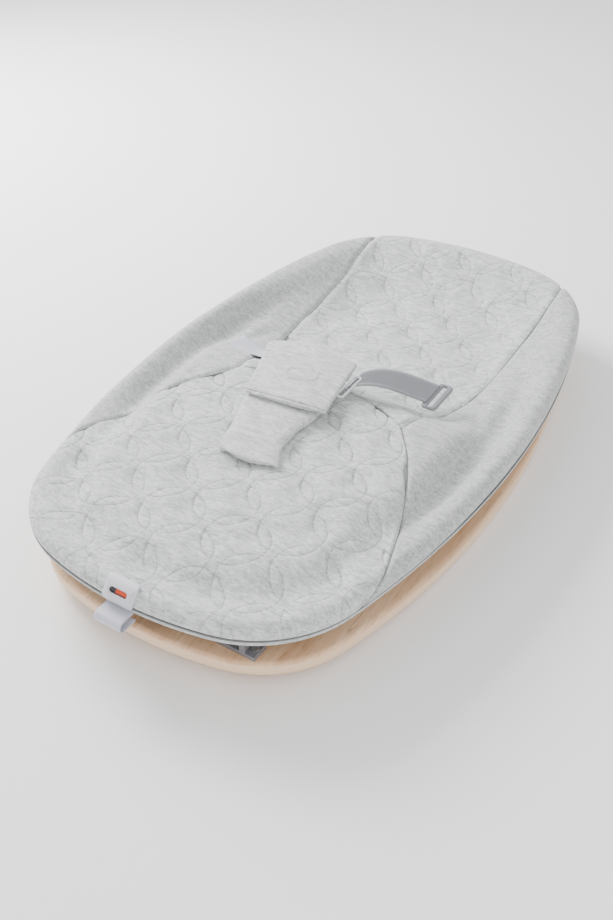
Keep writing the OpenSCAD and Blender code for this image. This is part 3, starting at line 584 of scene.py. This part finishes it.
def tidyMesh(obj, gap=0.00002, faceOut=True):
    deselectAll()
    obj.select_set(True)
    bpy.context.view_layer.objects.active = obj
    bpy.ops.object.mode_set(mode="EDIT")
    bpy.ops.mesh.select_all(action="SELECT")
    bpy.ops.mesh.remove_doubles(threshold=gap)
    bpy.ops.mesh.dissolve_degenerate(threshold=gap / 4)
    if faceOut:
        bpy.ops.mesh.normals_make_consistent(inside=False)
    bpy.ops.mesh.select_all(action="DESELECT")
    bpy.ops.object.mode_set(mode="OBJECT")


def applyModifier(obj, kind, **settings):
    deselectAll()
    obj.select_set(True)
    bpy.context.view_layer.objects.active = obj
    modifier = obj.modifiers.new(kind.lower(), kind)
    for key, value in settings.items():
        setattr(modifier, key, value)
    bpy.ops.object.modifier_apply(modifier=modifier.name)


def shadeSmooth(obj, angle=None):
    deselectAll()
    obj.select_set(True)
    bpy.context.view_layer.objects.active = obj
    if angle is None:
        bpy.ops.object.shade_smooth()
    else:
        bpy.ops.object.shade_smooth_by_angle(angle=math.radians(angle))


def faceUp(obj):
    total = sum(polygon.normal.z * polygon.area for polygon in obj.data.polygons)
    if total < 0:
        deselectAll()
        obj.select_set(True)
        bpy.context.view_layer.objects.active = obj
        bpy.ops.object.mode_set(mode="EDIT")
        bpy.ops.mesh.select_all(action="SELECT")
        bpy.ops.mesh.flip_normals()
        bpy.ops.object.mode_set(mode="OBJECT")


def finishPiece(obj, look, body, replaced=()):
    obj.data.materials.clear()
    obj.data.materials.append(looks[look])
    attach(obj, body)
    if replaced:
        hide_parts(*replaced)


# A round cord along points, as a mesh tube
def addCord(name, points, radius, closed=False, sides=3):
    curve = bpy.data.curves.new(name, "CURVE")
    curve.dimensions = "3D"
    spline = curve.splines.new("POLY")
    spline.points.add(len(points) - 1)
    for point, place in zip(spline.points, points):
        point.co = (*place, 1)
    spline.use_cyclic_u = closed
    curve.bevel_depth = radius
    curve.bevel_resolution = sides
    curve.use_fill_caps = True
    obj = bpy.data.objects.new(name, curve)
    bpy.context.scene.collection.objects.link(obj)
    deselectAll()
    obj.select_set(True)
    bpy.context.view_layer.objects.active = obj
    bpy.ops.object.convert(target="MESH")
    made = bpy.context.active_object
    shadeSmooth(made)
    return made


# ---- quilts, wings and the edge band ----
panelShape = {"thickness": 0.006, "seamDip": 0.0030, "seamWidth": 0.0036}
bezelWindow = (0.0155, 0.0135)


def seamDip(distance):
    return -panelShape["seamDip"] * math.exp(-((max(0.0, distance) / panelShape["seamWidth"]) ** 2))


# Takes out the faces of a panel that lie within halfX of the middle and no further in than inset
def cutWindow(obj, halfX, inset):
    deselectAll()
    for polygon in obj.data.polygons:
        x, y = polygon.center.x, polygon.center.y
        polygon.select = abs(x) < halfX and y < footY + seatLength / 2 and edgeAt(x, y - footY)[0] < inset
    obj.select_set(True)
    bpy.context.view_layer.objects.active = obj
    bpy.ops.object.mode_set(mode="EDIT")
    bpy.ops.mesh.select_mode(type="FACE")
    bpy.ops.object.mode_set(mode="OBJECT")
    for polygon in obj.data.polygons:
        x, y = polygon.center.x, polygon.center.y
        polygon.select = abs(x) < halfX and y < footY + seatLength / 2 and edgeAt(x, y - footY)[0] < inset
    bpy.ops.object.mode_set(mode="EDIT")
    bpy.ops.mesh.delete(type="FACE")
    bpy.ops.mesh.select_mode(type="VERT")
    bpy.ops.object.mode_set(mode="OBJECT")


def makePanel(name, place, columns, rows, relief, seams, window=None):
    obj = addGrid(name, columns, rows)

    def onPanel(a, b):
        x, v = place(a, b)
        return coverPoint(x, v, relief(x, v) + seams(a, b))

    moveVertices(obj, onPanel)
    tidyMesh(obj, faceOut=False)
    faceUp(obj)
    if window:
        cutWindow(obj, *window)
    applyModifier(obj, "SOLIDIFY", thickness=panelShape["thickness"], offset=-1)
    shadeSmooth(obj)
    return obj


def makeSeatQuilt():
    def seams(a, b):
        width = 0.60 + (0.21 - 0.60) * b
        return seamDip(a * width) + seamDip((1 - a) * width) + seamDip((1 - b) * 0.36) + 0.5 * seamDip(b * 0.36)

    quilt = makePanel("seat_quilt_cover", seatPanelPlace, 300, 195, quiltRelief, seams, bezelWindow)
    finishPiece(quilt, "quilted_jersey_look", "seat", ["seat_quilt"])


def makeBackQuilt():
    def seams(a, b):
        width = 0.21 + 0.07 * b
        return seamDip(a * width) + seamDip((1 - a) * width) + seamDip(b * 0.40) + 0.5 * seamDip((1 - b) * 0.40)

    def relief(x, v):
        ripple = 0.0012 * math.sin((v + 0.15 * abs(x)) * 210) * bell(v, 0.405, 0.035) * clamp(abs(x) * 12 + 0.3)
        return quiltRelief(x, v) + ripple

    quilt = makePanel("back_quilt_cover", backPanelPlace, 140, 215, relief, seams)
    finishPiece(quilt, "quilted_jersey_look", "seat", ["back_quilt"])


def makeWings():
    for side, sign in (("right", 1), ("left", -1)):
        def relief(x, v):
            # a soft dart runs down from the waist seam into the wing
            t = clamp((0.470 - v) / 0.11)
            fold = 0.0025 * bell(x * sign, 0.140 + 0.030 * t, 0.007) * math.sin(math.pi * t)
            drape = 0.0012 * noise.noise(Vector((x * 22, v * 9, 5.0)))
            return fold * -1 + drape

        def seams(a, b):
            width = 0.025 + 0.10 * math.sin(math.pi * b)
            return seamDip(a * width) + 0.5 * seamDip((1 - a) * width)

        def place(a, b):
            x, v = wingPanelPlace(a, b)
            return x * sign, v

        wing = makePanel("wing_cover_" + side, place, 64, 300, relief, seams)
        finishPiece(wing, "plain_jersey_look", "seat", ["side_wing_" + side])


sleeveNodes = ["foot_end_sleeves", "side_sleeves_left", "side_sleeves_right", "head_corner_sleeves", "head_end_sleeve"]


def makeEdgeBand():
    band = addGrid("edge_band", 420, 26)
    first, last = coverShape["pipingTurn"] + 0.02, 4.75

    def onBand(a, b):
        lx, lv, nx, nv = onOutline(a, rimRadius)
        turn = first + (last - first) * b
        reach = coverRadius + 0.0007 * math.sin(math.pi * min(1.0, b * 2.4)) - 0.0012 * math.exp(-((b / 0.05) ** 2))
        out = reach * math.sin(turn)
        return Vector((lx + nx * out, footY + lv + nv * out, rimZ + reach * math.cos(turn)))

    moveVertices(band, onBand)
    tidyMesh(band, faceOut=False)
    applyModifier(band, "SOLIDIFY", thickness=0.0012, offset=-1)
    tidyMesh(band)
    shadeSmooth(band)
    finishPiece(band, "plain_jersey_look", "seat", sleeveNodes)


# The rim piping, then thin dark cords in the side and waist seam grooves: these seam cords are painted shade, a dark
# line laid where the groove between panels is in shade
def makePipingAndSeamShadeCords():
    turn = coverShape["pipingTurn"]
    points = []
    for i in range(420):
        lx, lv, nx, nv = onOutline(i / 420, rimRadius)
        reach = coverRadius - 0.0004
        points.append((lx + nx * reach * math.sin(turn), footY + lv + nv * reach * math.sin(turn),
                       rimZ + reach * math.cos(turn)))
    piping = addCord("edge_piping", points, 0.0009, closed=True)
    finishPiece(piping, "thread", "seat")
    # Side seam cords: painted shade along the side seam grooves
    for side, sign in (("right", 1), ("left", -1)):
        places = [alongCurve(lowerSeam, i / 90) for i in range(90)] + [alongCurve(upperSeam, i / 140) for i in range(141)]
        run = [coverPoint(x * sign, v, -panelShape["seamDip"] - 0.0001) for x, v in places]
        thread = addCord("side_seam_shade_" + side, run, 0.0006)
        finishPiece(thread, "thread", "seat")
    # Waist seam cord: painted shade along the waist seam groove
    run = [coverPoint(*waistLine(i / 90), -panelShape["seamDip"] - 0.0001) for i in range(91)]
    waist = addCord("waist_seam_shade", run, 0.0006)
    finishPiece(waist, "thread", "seat")


makeSeatQuilt()
makeBackQuilt()
makeWings()
makeEdgeBand()
makePipingAndSeamShadeCords()
print("cover panels, edge band and seams are made")


# ---- the plywood rocker ring ----
ringShape = {"inset": 0.010, "width": 0.058, "edge": 0.0055, "points": 336}


def makeRockerRing():
    low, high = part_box("rocker_ring")
    centreY = footY + seatLength / 2
    reach = (high[1] - low[1]) / 2
    radius = 3.7
    thickness = 0.018
    deselectAll()
    bpy.ops.mesh.primitive_circle_add(vertices=ringShape["points"], radius=1, fill_type="NOTHING")
    ring = bpy.context.active_object
    ring.name = "plywood_rocker"
    count = ringShape["points"]

    def top(x, y):
        return radius - math.sqrt((radius - thickness) ** 2 - (y - centreY) ** 2)

    for i, vertex in enumerate(ring.data.vertices):
        x, v, nx, nv = onOutline(i / count, ringShape["inset"])
        vertex.co = (x, footY + v, top(x, footY + v))
    bpy.ops.object.mode_set(mode="EDIT")
    bpy.ops.mesh.select_all(action="SELECT")
    bpy.ops.mesh.extrude_edges_move(TRANSFORM_OT_translate={"value": (0, 0, 0)})
    bpy.ops.object.mode_set(mode="OBJECT")
    for i, vertex in enumerate(ring.data.vertices):
        if i >= count:
            x, v, nx, nv = onOutline((i % count) / count, ringShape["inset"] + ringShape["width"])
            vertex.co = (x, footY + v, top(x, footY + v))
    bpy.ops.object.mode_set(mode="EDIT")
    bpy.ops.mesh.select_all(action="SELECT")
    bpy.ops.mesh.extrude_region_move(TRANSFORM_OT_translate={"value": (0, 0, -thickness)})
    bpy.ops.mesh.select_all(action="SELECT")
    bpy.ops.mesh.normals_make_consistent(inside=False)
    bpy.ops.mesh.select_all(action="DESELECT")
    bpy.ops.mesh.edges_select_sharp(sharpness=math.radians(50))
    bpy.ops.mesh.bevel(offset=ringShape["edge"], segments=4)
    bpy.ops.mesh.select_all(action="DESELECT")
    bpy.ops.object.mode_set(mode="OBJECT")
    shadeSmooth(ring, 40)
    finishPiece(ring, "wood", "base", ["rocker_ring"])


makeRockerRing()
print("rocker ring is made")


# ---- the sling under the pads ----
def makeSling():
    sheet = addGrid("under_sling", 60, 110)
    inner = 2 * rimRadius + 0.002

    def onSling(a, b):
        v = inner + (seatLength - 2 * inner) * b
        x = halfWidth(v, inner) * (2 * a - 1)
        inset = edgeAt(x, v)[0]
        drop = 0.011 + 0.004 * ramp(inset, inner, 0.05)
        return Vector((x, footY + v, rimZ + min(0.004, padHeight(x, v, inset)) - drop))

    moveVertices(sheet, onSling)
    tidyMesh(sheet, faceOut=False)
    faceUp(sheet)
    applyModifier(sheet, "SOLIDIFY", thickness=0.0012, offset=-1)
    shadeSmooth(sheet)
    finishPiece(sheet, "sling", "seat", ["sling"])


# Half the outline's width at v, for an outline moved in by inset
def halfWidth(v, inset):
    low, high = 0.0, seatShape["width"]
    for _ in range(40):
        middle = (low + high) / 2
        if edgeAt(middle, v)[0] > inset:
            low = middle
        else:
            high = middle
    return low


makeSling()
print("sling is made")


# ---- harness ----
strapShape = {
    "foot": (0.002, 0.203), "wrapFoot": (-0.012, 0.284), "wrapHead": (-0.038, 0.386), "turn": math.radians(6),
    "wrapTop": 0.036, "wrapThickness": 0.0045, "strapThickness": 0.006, "puffCap": 0.0012,
    "strapMiddle": [(0.0015, 0.196), (-0.010, 0.227), (-0.015, 0.256), (-0.018, 0.289), (-0.028, 0.345)],
    "strapHalf": [(0.0365, 0), (0.0330, 0), (0.0365, 0), (0.0440, 0), (0.0470, 0)],
}


def puffUp(obj, voxel, pressure, cap, frames=20):
    applyModifier(obj, "REMESH", mode="VOXEL", voxel_size=voxel)
    start = [vertex.co.copy() for vertex in obj.data.vertices]
    deselectAll()
    obj.select_set(True)
    bpy.context.view_layer.objects.active = obj
    cloth = obj.modifiers.new("cloth", "CLOTH")
    cloth.settings.use_pressure = True
    cloth.settings.uniform_pressure_force = pressure
    cloth.settings.effector_weights.gravity = 0
    cloth.settings.mass = 0.2
    for step in range(1, frames + 1):
        bpy.context.scene.frame_set(step)
    bpy.ops.object.modifier_apply(modifier=cloth.name)
    for vertex, place in zip(obj.data.vertices, start):
        move = vertex.co - place
        if move.length > cap:
            vertex.co = place + move.normalized() * cap
    bpy.context.scene.frame_set(1)


# A padded slab over plan places: the middle line at b, half its width, its turn and its height
def makeSlab(name, middle, halfAt, turn, heightAt, thickness, columns, rows, corner, bulge=0.0, arch=0.0):
    obj = addGrid(name, columns, rows)

    def onSlab(a, b):
        s = 2 * a - 1
        ends = min(b, 1 - b) * 0.10
        narrow = corner - math.sqrt(max(0.0, corner ** 2 - max(0.0, corner - ends) ** 2))
        mx, mv = middle(b)
        half = halfAt(b) - narrow
        bow = (1 - s * s) * (bulge * (1 - b) ** 2 - arch * b ** 3)
        x = mx + s * half * math.cos(turn) + bow * math.sin(turn)
        v = mv + s * half * math.sin(turn) - bow * math.cos(turn)
        return Vector((x, footY + v, heightAt(x, v, s, b)))

    moveVertices(obj, onSlab)
    tidyMesh(obj, faceOut=False)
    faceUp(obj)
    applyModifier(obj, "SOLIDIFY", thickness=thickness, offset=-1)
    tidyMesh(obj)
    return obj


def lineBetween(p, q, t):
    return p[0] + (q[0] - p[0]) * t, p[1] + (q[1] - p[1]) * t


def wrapMiddle(b):
    return lineBetween(strapShape["wrapFoot"], strapShape["wrapHead"], b)


def wrapHalf(b):
    return 0.0475 + 0.0085 * b


def wrapHeight(x, v, s, b):
    sag = -0.003 * s * s - 0.003 * b * b
    ripple = 0.0012 * noise.noise(Vector((x * 26, v * 26, 2.2)))
    return rimZ + strapShape["wrapTop"] + 0.002 + sag + ripple


def strapMiddle(b):
    return alongCurve(strapShape["strapMiddle"], b)


def strapHalf(b):
    return alongCurve(strapShape["strapHalf"], b)[0]


def strapHeight(x, v, s, b):
    low = padHeight(strapShape["foot"][0], strapShape["foot"][1], 0.17) + strapShape["strapThickness"] + 0.0015
    high = strapShape["wrapTop"] - strapShape["wrapThickness"] - 0.0015
    rise = low + (high - low) * (1 - (1 - b) ** 2.2)
    return rimZ + rise - 0.0025 * s * s + 0.0010 * noise.noise(Vector((x * 30, v * 30, 9.2)))


def onSurface(obj, x, v, lift):
    hit, place, normal, _ = obj.ray_cast(Vector((x, footY + v, 1.0)), Vector((0, 0, -1)))
    return place + normal * lift if hit else None


def threadOn(name, obj, places, radius, look, lift=0.0, closed=False):
    points = [onSurface(obj, x, v, lift) for x, v in places]
    points = [point for point in points if point is not None]
    thread = addCord(name, points, radius, closed=closed)
    finishPiece(thread, look, "seat")
    return thread


def pressLine(obj, places, depth, width):
    for vertex in obj.data.vertices:
        x, v = vertex.co.x, vertex.co.y - footY
        gap = min(math.hypot(x - px, v - pv) for px, pv in places)
        if gap < 3 * width:
            vertex.co.z -= depth * math.exp(-((gap / width) ** 2))


def wrapPlace(s, b, bulge=0.003):
    mx, mv = wrapMiddle(b)
    half = wrapHalf(b)
    bow = bulge * (1 - s * s) * (1 - b) ** 2
    turn = strapShape["turn"]
    return mx + s * half * math.cos(turn) + bow * math.sin(turn), mv + s * half * math.sin(turn) - bow * math.cos(turn)


def makeStraps():
    strap = makeSlab("crotch_strap_pad", strapMiddle, strapHalf, math.radians(5), strapHeight,
                     strapShape["strapThickness"], 30, 60, 0.009, bulge=0.003)
    puffUp(strap, 0.0022, 3.0, strapShape["puffCap"])
    applyModifier(strap, "SUBSURF", levels=1, render_levels=1)
    shadeSmooth(strap)
    finishPiece(strap, "strap_jersey_look", "seat", ["crotch_strap"])

    wrap = makeSlab("crotch_wrap_pad", wrapMiddle, wrapHalf, strapShape["turn"], wrapHeight,
                    strapShape["wrapThickness"], 50, 50, 0.004, bulge=0.003, arch=0.013)
    puffUp(wrap, 0.0017, 3.0, strapShape["puffCap"])
    applyModifier(wrap, "SUBSURF", levels=1, render_levels=1)
    hem = [wrapPlace(-0.96 + 1.92 * i / 60, 0.045) for i in range(61)]
    pressLine(wrap, hem, 0.0012, 0.0022)
    shadeSmooth(wrap)
    finishPiece(wrap, "strap_jersey_look", "seat", ["crotch_wrap"])
    threadOn("wrap_hem_stitch", wrap, hem, 0.00045, "thread")
    patch = {"middle": (-0.021, 0.334), "half": (0.0175, 0.0105), "corner": 0.0065}
    for name, shrink in (("patch_border_outer", 0.0), ("patch_border_inner", 0.0018)):
        places = roundedRectangle(patch["half"][0] - shrink, patch["half"][1] - shrink, patch["corner"] - shrink / 2, 8)
        turned = [(patch["middle"][0] + x * 0.94 - y * 0.34, patch["middle"][1] + x * 0.34 + y * 0.94) for x, y in places]
        threadOn(name, wrap, turned, 0.0005, "whiteThread", 0.0002, closed=True)


def roundedRectangle(halfX, halfY, corner, steps):
    points = []
    for cx, cy, start in ((1, 1, 0), (-1, 1, 90), (-1, -1, 180), (1, -1, 270)):
        for i in range(steps + 1):
            turn = math.radians(start + 90 * i / steps)
            points.append((cx * (halfX - corner) + corner * math.cos(turn),
                           cy * (halfY - corner) + corner * math.sin(turn)))
    return points


beltShape = {"width": 0.036, "thickness": 0.0016, "rib": 0.0013, "ribDepth": 0.00035}


def makeBelts():
    low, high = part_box("belt_right")
    startX, endX = low[0], high[0] + 0.004
    startV, endV = 0.368, 0.408
    startZ, endZ = high[2] - 0.005, low[2] + 0.0008
    belt = addGrid("waist_belt_right", 300, 14)

    def onBelt(a, b):
        x = startX + (endX - startX) * a
        v = startV + (endV - startV) * a + beltShape["width"] * (b - 0.5)
        arch = 0.009 * math.sin(math.pi * a ** 0.8)
        z = startZ + (endZ - startZ) * ramp(a, 0.0, 1.12) + arch
        rib = beltShape["ribDepth"] * math.sin(2 * math.pi * (x - startX) / beltShape["rib"])
        edge = 1 if 0.08 < b < 0.92 else 0.2
        return Vector((x, footY + v, z + rib * edge))

    moveVertices(belt, onBelt)
    faceUp(belt)
    applyModifier(belt, "SOLIDIFY", thickness=beltShape["thickness"], offset=-1)
    shadeSmooth(belt)
    finishPiece(belt, "webbing", "seat", ["belt_right"])

    low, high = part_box("belt_left")
    ribbon = addGrid("waist_ribbon_left", 30, 20)
    nearX, farX = high[0] + 0.020, low[0]
    nearZ = rimZ + strapShape["wrapTop"] - 0.020

    def onRibbon(a, b):
        x = nearX + (farX - nearX) * a
        v = 0.384 + 0.020 * a + beltShape["width"] * (b - 0.5)
        ground = coverPoint(x, v).z + 0.0015
        return Vector((x, footY + v, max(ground, nearZ + (ground - nearZ) * ramp(a, -0.2, 0.55))))

    moveVertices(ribbon, onRibbon)
    faceUp(ribbon)
    applyModifier(ribbon, "SOLIDIFY", thickness=0.0011, offset=-1)
    shadeSmooth(ribbon)
    finishPiece(ribbon, "ribbon", "seat", ["belt_left"])


def makeAdjuster():
    low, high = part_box("belt_adjuster")
    cx, cy, cz = [(low[k] + high[k]) / 2 for k in range(3)]
    wide, deep = high[0] - low[0], high[1] - low[1]
    bars = []
    rail = 0.0042
    frame = [(cx + x, cy + y, cz + 0.0008) for x, y in roundedRectangle(wide / 2 - rail / 2, deep / 2 - rail / 2, 0.0035, 6)]
    bars.append(addCord("adjuster_frame", frame, rail / 2, closed=True, sides=5))
    for i, shift in enumerate((-0.24, 0.24)):
        run = [(cx + shift * wide, cy + (deep / 2 - rail / 2) * t, cz + 0.0008) for t in (-1, -0.5, 0, 0.5, 1)]
        bars.append(addCord("adjuster_bar", run, rail / 2.1, sides=5))
    deselectAll()
    for bar in bars:
        bar.select_set(True)
    bpy.context.view_layer.objects.active = bars[0]
    bpy.ops.object.join()
    slide = bpy.context.active_object
    slide.name = "three_bar_slide"
    applyModifier(slide, "REMESH", mode="VOXEL", voxel_size=0.0007)
    applyModifier(slide, "SMOOTH", iterations=3)
    shadeSmooth(slide)
    finishPiece(slide, "adjuster", "seat", ["belt_adjuster"])

    low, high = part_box("belt_ring")
    cx, cy, cz = [(low[k] + high[k]) / 2 for k in range(3)]
    points = [(cx + 0.014 + x, cy + y - 0.020, cz - 0.006) for x, y in roundedRectangle(0.004, 0.021, 0.003, 6)]
    loop = addCord("belt_end_loop", points, 0.0013, closed=True, sides=4)
    finishPiece(loop, "clearLoop", "seat", ["belt_ring"])


def makePullTab():
    low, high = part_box("pull_tab")
    width = high[0] - low[0]
    tab = addGrid("pull_tab_ribbon", 20, 60)
    radius = (high[2] - low[2]) / 2 - 0.0008
    straight = (high[1] - low[1]) - radius
    midZ = (low[2] + high[2]) / 2

    def onTab(a, b):
        x = low[0] + width * a
        run = b * (2 * straight + math.pi * radius)
        if run < straight:
            y, z = high[1] - run, midZ + radius
        elif run < straight + math.pi * radius:
            turn = (run - straight) / radius
            y, z = high[1] - straight - radius * math.sin(turn), midZ + radius * math.cos(turn)
        else:
            y, z = high[1] - straight + (run - straight - math.pi * radius), midZ - radius
        return Vector((x, y, z))

    moveVertices(tab, onTab)
    applyModifier(tab, "SOLIDIFY", thickness=0.0010, offset=0)
    tidyMesh(tab)
    shadeSmooth(tab)
    finishPiece(tab, "ribbon", "seat", ["pull_tab"])


makeStraps()
makeBelts()
makeAdjuster()
makePullTab()
print("harness and pull tab are made")


# ---- lock bezel at the foot end ----
bezelShape = {"width": 0.034, "low": -15, "high": 100, "slotWidth": 0.020, "slotHeight": 0.006, "slotAt": 38,
              "radius": 0.0150, "thickness": 0.0020, "corner": 0.006}


def makeBezel():
    lineRadius = seatShape["endRadius"] - rimRadius
    radius = bezelShape["radius"]
    span = radius * math.radians(bezelShape["high"] - bezelShape["low"])
    slotMiddle = radius * math.radians(bezelShape["slotAt"] - bezelShape["low"]) - span / 2
    steps = 10
    outer = roundedRectangle(bezelShape["width"] / 2, span / 2, bezelShape["corner"], steps)
    slotPoints = roundedRectangle(bezelShape["slotWidth"] / 2, bezelShape["slotHeight"] / 2,
                                  bezelShape["slotHeight"] / 2 - 0.00005, steps)
    loops = []
    rings = 6
    for k in range(rings + 1):
        t = k / rings
        loops.append([((1 - t) * o[0] + t * s[0], (1 - t) * o[1] + t * (s[1] + slotMiddle))
                      for o, s in zip(outer, slotPoints)])
    deselectAll()
    bpy.ops.mesh.primitive_circle_add(vertices=len(outer), radius=0.01, fill_type="NOTHING")
    bezel = bpy.context.active_object
    bezel.name = "lock_bezel_plate"
    for vertex, place in zip(bezel.data.vertices, loops[0]):
        vertex.co = (*place, 0)
    bpy.ops.object.mode_set(mode="EDIT")
    bpy.ops.mesh.select_all(action="SELECT")
    for loop in loops[1:]:
        bpy.ops.mesh.extrude_edges_move(TRANSFORM_OT_translate={"value": (0, 0, 0)})
        bpy.ops.object.mode_set(mode="OBJECT")
        for vertex, place in zip(list(bezel.data.vertices)[-len(loop):], loop):
            vertex.co = (*place, 0)
        bpy.ops.object.mode_set(mode="EDIT")
    bpy.ops.object.mode_set(mode="OBJECT")
    tidyMesh(bezel, gap=0.000001, faceOut=False)
    faceUp(bezel)
    applyModifier(bezel, "SOLIDIFY", thickness=bezelShape["thickness"], offset=1)
    tidyMesh(bezel, gap=0.000001)
    applyModifier(bezel, "BEVEL", width=0.0006, segments=2, limit_method="ANGLE", angle_limit=math.radians(50))
    for vertex in bezel.data.vertices:
        x, arc, lift = vertex.co
        turn = math.radians(bezelShape["low"]) + (arc + span / 2) / radius
        reach = radius - bezelShape["thickness"] + lift
        around = x / (lineRadius + reach * math.cos(turn))
        out = lineRadius + reach * math.cos(turn)
        vertex.co = (out * math.sin(around), footY + seatShape["endRadius"] - out * math.cos(around),
                     rimZ + reach * math.sin(turn))
    tidyMesh(bezel, gap=0.000001)
    shadeSmooth(bezel, 35)
    finishPiece(bezel, "bezel", "seat", ["lock_bezel"])


makeBezel()
print("lock bezel is made")


# ---- finishes on the pieces that keep their own shape ----
slotLooks = {
    "grey_rubber": "rubber", "grey_plastic": "greyPlastic", "zinc_steel": "zinc", "frame_steel": "steel",
    "bezel_plastic": "bezel", "orange_plastic": "orange", "adjuster_plastic": "adjuster", "plywood": "wood",
    "rim_jersey": "plain_jersey_look", "quilted_jersey": "quilted_jersey_look", "sling_cloth": "sling",
    "belt_webbing": "webbing", "lilac_ribbon": "ribbon",
}


def finishFrameNodes():
    for name, obj in frame["nodes"].items():
        for i, material in enumerate(obj.data.materials):
            slot = material.name.split(".")[0]
            if slot in slotLooks:
                obj.data.materials[i] = looks[slotLooks[slot]]
            else:
                print("no finish for", name, slot)


finishFrameNodes()


def makeFloor():
    deselectAll()
    bpy.ops.mesh.primitive_plane_add(size=floorSetup["size"], location=(0, 0, 0))
    floor = bpy.context.active_object
    floor.name = "floor"
    material, tree, shader = newMaterial("floor_look", 0.9, Specular_IOR_Level=0.1)
    shader.inputs["Base Color"].default_value = floorSetup["color"]
    floor.data.materials.append(material)


makeFloor()
print("floor is made")
